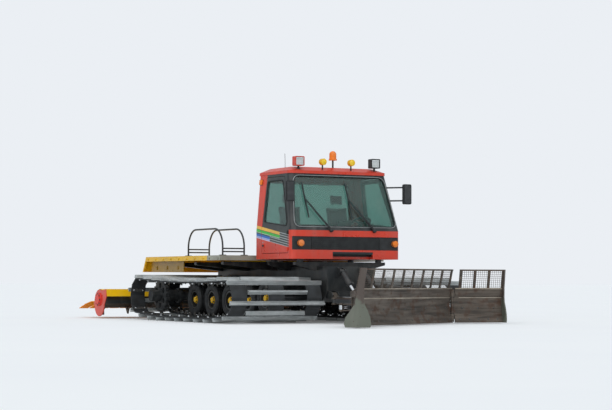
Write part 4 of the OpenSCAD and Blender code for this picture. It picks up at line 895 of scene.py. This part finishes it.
wire_mesh("grille_mesh", GRILLE_TRIM - inner, inner - GRILLE_TRIM, grille_y, on_blade, "blade")
for side, word in SIDES:
    wire_mesh("wing_mesh_" + word, 40 + GRILLE_TRIM, WING_W - 20, grille_y - HINGE_Y, on_wing(side),
              "wing_" + word)
print("mesh wires lean", round(lean, 1), "degrees")

# %% [markdown]
# The mould board carries bolted-on wear parts: a hardened edge along the bottom, held by
# carriage bolts, two thin wear strips where snow rubs most, and a lip over the plate.
# Each strip is one bar with bevelled edges, laid against the curve.

# %% Wear strips and edge bolts
def strip(name, section, z0, z1, proud, finish):
    """A flat bar lying on the blade's hollow face between two heights."""
    label, hinge, body, place, x0, x1 = section
    z = (z0 + z1) / 2
    bar = soften(cube(name + label, ((x1 - x0) / 1000, proud / 500, (z1 - z0) / 1000)), 0.002, 1)
    seat = shift((x0 + x1) / 2000, (face_y(z) - hinge) / 1000, z / 1000) @ spin_about("X", face_tilt(z))
    return settle(bar, finish, place @ seat, body)


def bolt_row(name, section, z, pitch, out):
    """Round-headed carriage bolts in a row on the blade's face."""
    label, hinge, body, place, x0, x1 = section
    head = primitive("uv_sphere", name + label, segments=12, ring_count=8, radius=0.015)
    pick(head, lambda centre, normal: centre.z < -0.0005)
    bpy.ops.mesh.delete(type="FACE")
    leave()
    head.scale = (1, 1, 0.5)
    count = max(2, round((x1 - x0) / pitch))
    seats = [shift((x0 + (x1 - x0) * (i + 0.5) / count) / 1000, (face_y(z) - out - hinge) / 1000, z / 1000)
             @ spin_about("X", 90 + face_tilt(z)) for i in range(count)]
    return settle(spread(head, seats), cast_iron, place, body, tidy=False)


for section in SECTIONS:
    strip("wear_strip_low", section, 232, 252, 5, scoured_steel)
    strip("wear_strip_high", section, 395, 412, 4, polished_edge)
    strip("top_lip", section, 536, 552, 9, polished_edge)
    bolt_row("edge_bolts", section, 70, 150, 10)
    bolt_row("strip_bolts", section, 242, 300, 5)
for side, word in SIDES:
    to_wing = on_wing(side).inverted()
    refinish("wing_" + word, olive_enamel, lambda centre: (to_wing @ centre).x > WING_W / 1000 - 0.021)
print("blade sections dressed:", len(SECTIONS))

# %% [markdown]
# Where plates meet, a welder's bead stands proud. A bead is a small tube along the joint,
# here round the foot of each grille post. The ripple is left to the iron's own bump.

# %% Weld beads on the blade
posts = [(GRILLE_TRIM - inner) + POST_W / 2 + (2 * (inner - GRILLE_TRIM) - POST_W) * i / 9 for i in range(10)]
FOOTPRINT = ((-23, -3), (23, -3), (23, 18), (-23, 18))
beads = []
for x in posts:
    corners = [Vector((x + dx, grille_y + dy, BLADE_SOLID + 1)) / 1000 for dx, dy in FOOTPRINT]
    beads.append(tube("bead", corners, 0.003, closed=True, sides=1))
settle(join(beads, "grille_welds"), cast_iron, on_blade, "blade", tidy=False)
print("welds round", len(posts), "posts")

# %% [markdown]
# Oil reaches the blade's cylinders through hard steel pipes clipped along the push frame.
# Each pipe is a line with rounded corners, given thickness as a curve, then made a mesh.

# %% Pipes on the push frame
PIPE_Z = 407
for side, word in SIDES:
    for i, inset in enumerate((0, 18)):
        way = ((330 - inset, -60), (330 - inset, -330), (262 - inset * 0.6, -520), (150 - inset, -690),
               (110 - inset, -760))
        line = [at(side * x, y, PIPE_Z) for x, y in way]
        settle(tube(f"oil_pipe_{word}_{i + 1}", arced(line, 0.04), 0.006), hard_chrome, body="push_frame")
    clips = block("pipe_clips_" + word, (-0.024, -0.012, -0.004), (0.024, 0.012, 0.016), 0.003)
    settle(spread(clips, [put(side * 321, y, 403) for y in (-120, -280)]), cast_iron, body="push_frame")
print("pipes run along both arms")

# %% [markdown]
# ## The cab
# The cab leans: above the waist the sides draw in and the windscreen falls back. Small
# functions give a place on the side, the screen or the rear wall, so gaskets, lamps and
# handles can follow those surfaces. Another one finishes a plain rounded block.

# %% Places on the cab
CAB_HALF, ROOF_HALF, CAB_FRONT, CAB_REAR = 964, 862, 198, 1490
CAB_BOTTOM, WAIST, EAVES, SCREEN_LEAN, BACK_LEAN = 995, 1440, 2330, 280, 60
SIDE_LEAN = (CAB_HALF - ROOF_HALF) / (EAVES - WAIST)
SCREEN_TILT = math.atan(SCREEN_LEAN / (EAVES - WAIST))


def on_side(side, y, z, out=0.0):
    """A place on the cab's side, so many millimetres proud of it."""
    return at(side * (CAB_HALF + out - max(0, z - WAIST) * SIDE_LEAN), y, z)


def on_screen(u, v, out=0.0):
    """A place on the windscreen: across, up the glass from the waist, and proud of it."""
    return at(u, CAB_FRONT + v * math.sin(SCREEN_TILT) - out * math.cos(SCREEN_TILT),
              WAIST + v * math.cos(SCREEN_TILT) + out * math.sin(SCREEN_TILT))


def on_back(x, z):
    """A place on the cab's rear wall."""
    return at(x, CAB_REAR + (z - CAB_BOTTOM) * BACK_LEAN / (EAVES - CAB_BOTTOM), z)


def fitting(name, low, high, width, segments, finish, place, body="chassis"):
    """A rounded block with its finish, put in place."""
    settle(block(name, low, high, width, segments), finish, place, body)


screen_high = (EAVES - WAIST) / math.cos(SCREEN_TILT)
print("the windscreen is", round(screen_high), "mm tall and leans", round(math.degrees(SCREEN_TILT), 1))

# %% [markdown]
# Each pane sits in a rubber gasket. On the windscreen a thin light filler strip is pressed
# into it, which shows as a pale line. Both are closed tubes along the pane's outline.

# %% Gaskets round the panes
SCREEN = [(-902, 62), (902, 62), (800, screen_high - 40), (-800, screen_high - 40)]
REAR_PANE = [(-760, 1560), (760, 1560), (760, 2230), (-760, 2230)]
DOOR_PANE = [(392, 1505), (1186, 1583), (1194, 2231), (677, 2231), (392, 1585)]
DOOR_EDGE = [(330, 1090), (1236, 1090), (1250, 2286), (636, 2286), (330, 1500)]


def gasket(name, outline, corner, steps, thick, finish=gasket_rubber, body="chassis"):
    """A closed tube along an outline with rounded corners."""
    settle(tube(name, arced(outline, corner, steps, True), thick, True), finish, body=body)


gasket("screen_gasket", [on_screen(u, v) for u, v in SCREEN], 0.11, 6, 0.011)
gasket("screen_filler", [on_screen(u * 1.012, v + (8 if v > 400 else -8), 6) for u, v in SCREEN],
       0.12, 6, 0.0045, filler_strip)
gasket("rear_gasket", [on_back(x, z) for x, z in REAR_PANE], 0.1, 6, 0.011)
for side, word in SIDES:
    body = "door_" + word
    gasket("door_gasket_" + word, [on_side(side, y, z) for y, z in DOOR_PANE], 0.05, 5, 0.01, body=body)
    gasket("door_seal_" + word, [on_side(side, y, z, -20) for y, z in DOOR_EDGE], 0.02, 3, 0.0035, body=body)
# A black plate across the front panel's notch: partly a trim, and partly painted shade that stands in for the
# notch's deeper recess
fitting("notch_trim_shade", (-0.246, -0.004, 1.066), (0.468, 0.002, 1.107), 0.002, 2, black_plastic,
        put(0, CAB_FRONT, 0))
print("gaskets on 4 panes and 2 doors, a trim over the panel's notch")

# %% [markdown]
# The door opens with a flush pull handle: a dished plate with a flap across it. The dish
# is a cube whose outer face is inset and pushed in. Above it sits a round key barrel.

# %% Door handles
HANDLE_Y, HANDLE_Z, KEY_Z = 1180, 1205, 1258
for side, word in SIDES:
    place, body = shift(*on_side(side, HANDLE_Y, HANDLE_Z, 4)) @ mirror(side), "door_" + word
    dish = press(cube("handle_dish_" + word, (0.012, 0.085, 0.06)), LEFT, (0.008, 0), (0.004, -0.008))
    settle(soften(dish, 0.002), plain_red_enamel, place, body)
    fitting("handle_flap_" + word, (0, -0.028, -0.012), (0.008, 0.028, 0.02), 0.003, 2, grained_plastic,
            place, body)
    barrel = primitive("cylinder", "key_barrel_" + word, vertices=24, radius=0.012, depth=0.012,
                       rotation=(0, math.radians(90), 0))
    settle(soften(barrel, 0.002), hard_chrome, shift(*on_side(side, HANDLE_Y, KEY_Z, 3)), body)
print("handles at", [round(v, 3) for v in on_side(-1, HANDLE_Y, HANDLE_Z)])

# %% [markdown]
# ## Lamps
# On the roof stand two square work lamps and two round fog lamps; the indicators sit in
# the black band. Each gets a lens, and the round ones a rim. A lens is a shallow dome, made
# from a cylinder whose front face is inset and moved out in three steps.

# %% Lenses and rims
TO_FRONT = spin_about("X", 90)
BAND_Z = (1136 + 1343) / 2
LAMP_Y, LAMP_Z = CAB_FRONT + SCREEN_LEAN + 40, EAVES + 193.3


def dome(name, finish, place, radius, depth, bulge, vertices=40):
    """A round lens standing on XY that bulges along Z."""
    lens = primitive("cylinder", name, vertices=vertices, radius=radius, depth=depth,
                     location=(0, 0, depth / 2))
    press(lens, UP, *[(radius * 0.24, bulge * share) for share in (0.5, 0.32, 0.18)])
    settle(lens, finish, place)


def ring(name, finish, place, radius, thick):
    """A round bead lying in XY."""
    settle(primitive("torus", name, major_radius=radius, minor_radius=thick, major_segments=40,
                     minor_segments=8), finish, place)


for x, word in ((-802, "right"), (872, "left")):
    face = put(x, CAB_FRONT - 16.3, BAND_Z) @ TO_FRONT
    dome("indicator_lens_" + word, amber_acrylic, face, 0.05, 0.004, 0.008)
    ring("indicator_rim_" + word, black_plastic, face, 0.051, 0.004)
for side, word in SIDES:
    face = put(side * 255, LAMP_Y - 35, LAMP_Z) @ TO_FRONT
    dome("fog_lens_" + word, yellow_acrylic, face, 0.045, 0.003, 0.012)
    ring("fog_rim_" + word, yellow_plastic, face, 0.048, 0.0045)
    lens = block("work_lens_" + word, (-0.066, -0.061, 0), (0.066, 0.061, 0.006), 0.006, 3)
    settle(press(lens, UP, (0.02, 0.005)), clear_acrylic, put(side * 680, LAMP_Y - 28.5, LAMP_Z) @ TO_FRONT)
print("lenses on 6 front lamps")

# %% [markdown]
# At the cab's rear corners small orange marker lamps show its width, two work lamps light
# the tiller, and a whip aerial stands on the roof.

# %% Marker lamps, rear lamps and aerial
for side, word in SIDES:
    corner = shift(*on_side(side, 1430, 2225, -2)) @ mirror(side) @ spin_about("Y", -6.5)
    fitting("marker_lamp_" + word, (0, -0.045, -0.042), (0.028, 0.045, 0.042), 0.01, 3, amber_acrylic, corner)
    fitting("marker_base_" + word, (-0.004, -0.05, -0.048), (0.006, 0.05, 0.048), 0.004, 2, black_plastic,
            corner)
    seat = put(side * 560, 1585, 2368) @ spin_about("X", -12)
    housing = block("rear_lamp_" + word, (-0.07, -0.05, -0.055), (0.07, 0.03, 0.055), 0.012, 3)
    settle(press(housing, BACK, (0.008, 0), (0.004, -0.012)), black_plastic, seat)
    fitting("rear_lens_" + word, (-0.058, 0.018, -0.043), (0.058, 0.026, 0.043), 0.003, 2, clear_acrylic,
            seat)
    fitting("rear_lamp_foot_" + word, (-0.03, -0.12, -0.012), (0.03, 0, 0.004), 0.003, 1, black_plastic,
            put(side * 560, 1585, 2352))
whip = tube("aerial", [at(-520, 1300, 2432), at(-520, 1302, 2560), at(-520, 1312, 2695)], 0.0035)
settle(whip, black_plastic)
foot = primitive("cone", "aerial_foot", vertices=24, radius1=0.024, radius2=0.009, depth=0.05)
settle(soften(foot, 0.003), black_plastic, put(-520, 1300, 2450))
print("rear lamps and aerial on the roof")

# %% [markdown]
# ## Mirrors and wipers
# The mirror heads get their glass, which faces back, and a rounded shell in front. Under
# the screen each wiper's shaft ends in a domed cap.

# %% Mirror glass and wiper caps
MIRROR_Z = EAVES - 298
for side, word, x, y in ((-1, "right", 1015, 165), (1, "left", 1080, 180)):
    fitting("mirror_glass_" + word, (-0.062, 0, -0.146), (0.062, 0.004, 0.146), 0.0015, 1, mirror_glass,
            put(side * x, y + 18, MIRROR_Z))
    fitting("mirror_shell_" + word, (-0.058, -0.014, -0.14), (0.058, 0, 0.14), 0.012, 3, grained_plastic,
            put(side * x, y - 18, MIRROR_Z))
for x in (-282, 486):
    place = shift(*on_screen(x, -8, 35)) @ spin_about("X", 90 - math.degrees(SCREEN_TILT))
    dome(f"wiper_cap_{x + 1000}", black_plastic, place, 0.03, 0.006, 0.012, 24)
print("mirrors and wipers finished")

# %% [markdown]
# ## Seats
# Two seats of foam under woven cloth, each on a plain pedestal. A pad is the best use of
# Blender's cloth: a simple closed form is remeshed finely, blown up a little from inside
# like a cushion, and held to a few millimetres of movement. Both seats are alike, so each
# pad is simulated once and copied.

# %% Padded seats
PAD_CAP = 0.022
PRESSURE, CLOTH_FRAMES = 4, 20


def blow_up(piece):
    """Remeshes a form, inflates it as cloth, caps how far it moves and smooths it."""
    only(piece)
    fine = piece.modifiers.new("Fine mesh", "REMESH")
    fine.mode, fine.voxel_size = "VOXEL", 0.006
    bpy.ops.object.modifier_apply(modifier=fine.name)
    start = [corner.co.copy() for corner in piece.data.vertices]
    cloth = piece.modifiers.new("Cloth", "CLOTH")
    cloth.settings.use_pressure = True
    cloth.settings.uniform_pressure_force = PRESSURE
    cloth.settings.effector_weights.gravity = 0
    for moment in range(1, CLOTH_FRAMES + 1):
        bpy.context.scene.frame_set(moment)
    shaped = piece.evaluated_get(bpy.context.evaluated_depsgraph_get()).to_mesh()
    moved = [corner.co.copy() for corner in shaped.vertices]
    piece.modifiers.remove(cloth)
    for corner, old, new in zip(piece.data.vertices, start, moved):
        push = new - old
        corner.co = old + (push if push.length < PAD_CAP else push.normalized() * PAD_CAP)
    bpy.context.scene.frame_set(1)
    only(piece)
    smooth = piece.modifiers.new("Finer", "SUBSURF")
    smooth.levels = smooth.render_levels = 1
    bpy.ops.object.modifier_apply(modifier=smooth.name)


SEAT_X, FLOOR_Z, CUSHION_Y, LEAN_BACK = 430, 1035, CAB_REAR - 480, -8
FOOT_OF_BACK = (CAB_REAR - 240, CAB_BOTTOM + 290)
PADS = [  # name, low corner, high corner, rounding, place, lean in degrees
    ("seat_cushion", (-0.205, -0.225, -0.04), (0.205, 0.225, 0.045), 0.03, (CUSHION_Y, FLOOR_Z + 250), 0),
    ("seat_back", (-0.195, -0.033, -0.01), (0.195, 0.033, 0.57), 0.03, FOOT_OF_BACK, LEAN_BACK),
    ("head_rest", (-0.11, -0.024, 0.61), (0.11, 0.016, 0.765), 0.02, FOOT_OF_BACK, LEAN_BACK),
]
for name, low, high, width, place, lean in PADS:
    pad = block(name, low, high, width, 4)
    if name == "seat_back":
        press(pad, (0, -1, 0), (0.055, -0.012))
    blow_up(pad)
    for side, word in SIDES:
        copy = settle(twin(pad, f"{name}_{word}"), seat_cloth,
                      put(side * SEAT_X, *place) @ spin_about("X", lean), angle=60)
        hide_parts("cab_seats")
    bpy.data.objects.remove(pad)
for side, word in SIDES:
    stand = block("seat_stand_" + word, (-0.17, -0.16, 0.001), (0.17, 0.16, 0.2), 0.012, 3)
    pick(stand, lambda centre, normal: abs(normal.z) < 0.1 and abs(centre.z - 0.1) < 0.02)
    bpy.ops.mesh.inset(thickness=0.02, use_individual=True)
    bpy.ops.transform.resize(value=(0.97, 0.97, 1))
    leave()
    settle(stand, grained_plastic, put(side * SEAT_X, CUSHION_Y - 10, FLOOR_Z))
    posts = primitive("cylinder", "head_rest_posts_" + word, vertices=16, radius=0.008, depth=0.12)
    spread(posts, [shift(x, -0.004, 0.59) for x in (-0.06, 0.06)])
    settle(posts, hard_chrome, put(side * SEAT_X, *FOOT_OF_BACK) @ spin_about("X", LEAN_BACK))
    for piece in (stand, posts):
        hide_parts("cab_seats")
print("seats: 2, each of", len(PADS), "pads, a stand and 2 posts")

# %% [markdown]
# Between the seats a control box carries the blade's joystick, and on the dash stand a
# blank display and three chromed dial rims. The stick's grip is a cylinder that widens
# upwards, with an inset top.

# %% Joystick, display and dials
grip = primitive("cylinder", "joystick", vertices=24, radius=0.022, depth=0.13, location=(0, 0, 0.16))
resize(grip, UP, (1.3, 1.5, 1))
press(grip, UP, (0.008, 0.012))
settle(soften(grip, 0.005, 3), black_plastic, put(0, 860, 1300))
gaiter = primitive("cone", "joystick_gaiter", vertices=32, radius1=0.05, radius2=0.014, depth=0.1,
                   location=(0, 0, 0.05))
settle(soften(gaiter, 0.004), gasket_rubber, put(0, 860, 1295))
display = block("dash_display", (-0.12, -0.02, -0.08), (0.12, 0.02, 0.08), 0.008, 3)
settle(press(display, BACK, (0.012, -0.004)), black_plastic,
       put(80, CAB_FRONT + 235, WAIST + 85) @ spin_about("X", 15))
fitting("display_stem", (-0.02, -0.02, -0.09), (0.02, 0.02, 0), 0.005, 2, black_plastic,
        put(80, CAB_FRONT + 222, WAIST + 30))
for i, x in enumerate((330, 430, 530)):
    face = put(x, CAB_FRONT + 256, WAIST - 20) @ spin_about("X", -90) @ shift(0, 0, 0.004)
    ring(f"dial_rim_{i + 1}", hard_chrome, face, 0.036, 0.005)
print("controls in place")

# %% [markdown]
# ## The deck
# Under the deck's edge hang small fittings: latches on the yellow side covers, and a
# row of bolts where the flange is fixed to the beams. Covers and latches are drawn in a
# darker yellow, which is painted shade under the flange. The rails stand on square feet.
# The rear skirt has two round lamps a side, set in black rims.

# %% Latches, bolts and tail lamps
DECK_HALF, DECK_TOP = 1500, 1060
SKIRT_Y, SKIRT_BACK, SKIRT_DROP = 4715, 155, 260
BED_BOLTS, FRONT_BOLTS = range(2300, 4700, 330), (1720, 2060)
skirt = math.degrees(math.atan2(SKIRT_BACK, SKIRT_DROP))
for side, word in SIDES:
    latch = press(block("cover_latches_" + word, (0, -0.022, -0.03), (0.012, 0.022, 0.03)), LEFT,
                  (0.012, -0.004))
    # The latches take the same darker yellow, painted shade under the flange
    settle(spread(latch, [put(side * 1423, y, 870) @ mirror(side) for y in (3500, 3950, 4400)]), shaded_yellow_enamel)
    for label, ys, finish in (("bed", BED_BOLTS, yellow_enamel), ("front", FRONT_BOLTS, grey_enamel)):
        bolts = hexagon_bolt(f"flange_bolts_{label}_{word}", 0.024, 0.01)
        places = [put(side * DECK_HALF, y, DECK_TOP - 48) @ spin_about("Y", 90 * side) for y in ys]
        settle(spread(bolts, places), finish, tidy=False)
    foot = block("rail_feet_" + word, (-0.045, -0.045, 0), (0.045, 0.045, 0.01), 0.003)
    places = [put(side * x, y, DECK_TOP) for x in (1430, 1050) for y in (1700, 3050)]
    settle(spread(foot, places), black_enamel)
    for i, (x, finish) in enumerate(((1330, amber_acrylic), (1180, red_plastic))):
        face = (put(side * x, SKIRT_Y + SKIRT_BACK * 0.45, DECK_TOP - SKIRT_DROP * 0.45)
                @ spin_about("X", -90 + skirt) @ shift(0, 0, 0.001))
        dome(f"tail_lamp_{word}_{i + 1}", finish, face, 0.048, 0.012, 0.01, 32)
        ring(f"tail_rim_{word}_{i + 1}", black_plastic, face, 0.05, 0.007)
print("deck fittings on both sides")

# %% [markdown]
# ## The tiller
# Bolts hold the hood's edge and the drive covers, and ribs run across the finishing mat's
# comb, which draw the fine lines in a groomed slope.

# %% Tiller bolts and mat ribs
TILLER_HALF, ROTOR_Y, ROTOR_Z, HOOD_R = 2330, 4800, 265, 232
FLAPS, MAT_LONG, MAT_DROP = 24, 370, 71
hood_edge = ROTOR_Y + HOOD_R
bolts = hexagon_bolt("hood_bolts", 0.022, 0.009)
places = [put(x, hood_edge + 34, ROTOR_Z + 30) for x in range(-2240, 2241, 160)]
settle(spread(bolts, places), cast_iron, body="tiller", tidy=False)
for side, word in SIDES:
    face = put(side * (TILLER_HALF + 24.3), ROTOR_Y, ROTOR_Z + 60) @ spin_about("Y", 90 * side)
    bolt_circle("cap_bolts_" + word, 0.02, 0.009, [face], 8, 0.098, body="tiller", tidy=False)
rib = block("mat_ribs", (-0.004, -0.05, 0), (0.004, 0.17, 0.007), 0.002, 1)
pitch = (2 * TILLER_HALF - 40) / FLAPS
fall = spin_about("X", -math.degrees(math.atan2(MAT_DROP, MAT_LONG)))
rib_z = ROTOR_Z - 29 - 90 * MAT_DROP / MAT_LONG
places = [put((i - (FLAPS - 1) / 2) * pitch + dx, hood_edge + 620, rib_z) @ fall
          for i in range(FLAPS) for dx in (-60, -20, 20, 60)]
settle(spread(rib, places), orange_plastic, body="tiller", tidy=False)
print("mat ribs:", len(places))

# %% [markdown]
# ## Floor, light and camera
# A pale matt floor runs far back and meets a world of the same shade, so no horizon shows.
# An overcast sky has no edges, so both lights are suns with a very wide disc: one from
# above, and a weaker one from the camera's side that fills the shadows.

# %% Floor and lights
floor = primitive("plane", "studio_floor", size=500)
floor_paint, shader, place = begin("matt_floor_paint", Roughness=1.0, Specular_IOR_Level=0.0,
                                   Emission_Color=linear("#FFFFFF"))
seen = add(shader, "LightPath").outputs
shown = maths("MAXIMUM", maths("MAXIMUM", seen["Is Camera Ray"], seen["Is Glossy Ray"]),
              seen["Is Transmission Ray"])
feed(shader, Base_Color=blend(between(waves(place, 3000), 0.3, 0.7), "#E6E8EA", "#E8EAEB"),
     Emission_Strength=maths("MULTIPLY", shown, 0.1))
floor.data.materials.append(floor_paint)
floor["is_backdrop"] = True

world = bpy.data.worlds.new("overcast")
bpy.context.scene.world = world
world.use_nodes = True
sky = world.node_tree.nodes["Background"]
seen = add(sky, "LightPath").outputs
shown = maths("MAXIMUM", seen["Is Camera Ray"], seen["Is Transmission Ray"])
feed(sky, Color=blend(shown, "#C9D0D6", "#EBEFF4"),
     Strength=maths("ADD", maths("MULTIPLY", shown, 0.2), 0.8))

LIGHTS = [("sky_glow", (14, -12, 0), 110, 1.1), ("near_glow", (66, 0, -34), 70, 0.8)]
for name, turn, disc, strength in LIGHTS:
    bpy.ops.object.light_add(type="SUN", location=(0, 0, 12), rotation=[math.radians(a) for a in turn])
    lamp = bpy.context.object
    lamp.name, lamp.data.angle, lamp.data.energy = name, math.radians(disc), strength
    print("light:", name, strength, "W/m2 from a disc of", disc, "degrees")

# %% [markdown]
# The photograph was taken with a long lens from near the ground, about 29 m away and a
# little to the machine's right. The same place, aim and lens are set here in numbers.

# %% Camera
bpy.ops.object.camera_add(location=(-13.455, -25.7739, 0.661))
camera = bpy.context.object
camera.rotation_mode = "XYZ"
aim = spin_about("Z", -27.578) @ spin_about("X", 92.42) @ spin_about("Z", 0.173)
camera.rotation_euler = aim.to_euler()
camera.data.lens = 105.1
camera.data.sensor_width = 36
camera.data.clip_end = 600
bpy.context.scene.camera = camera
bpy.context.scene.view_settings.view_transform = "Standard"
print("camera at", [round(v, 2) for v in camera.location])

# %% [markdown]
# ## Sizes and finish
# The box round every piece that renders, the floor left out, is printed axis by axis.

# %% Print the sizes
bpy.context.view_layer.update()
seen_box = [list(map(float, corner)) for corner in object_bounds()]
for axis, low, high in zip("XYZ", *seen_box):
    print(axis, round(low, 3), "to", round(high, 3))
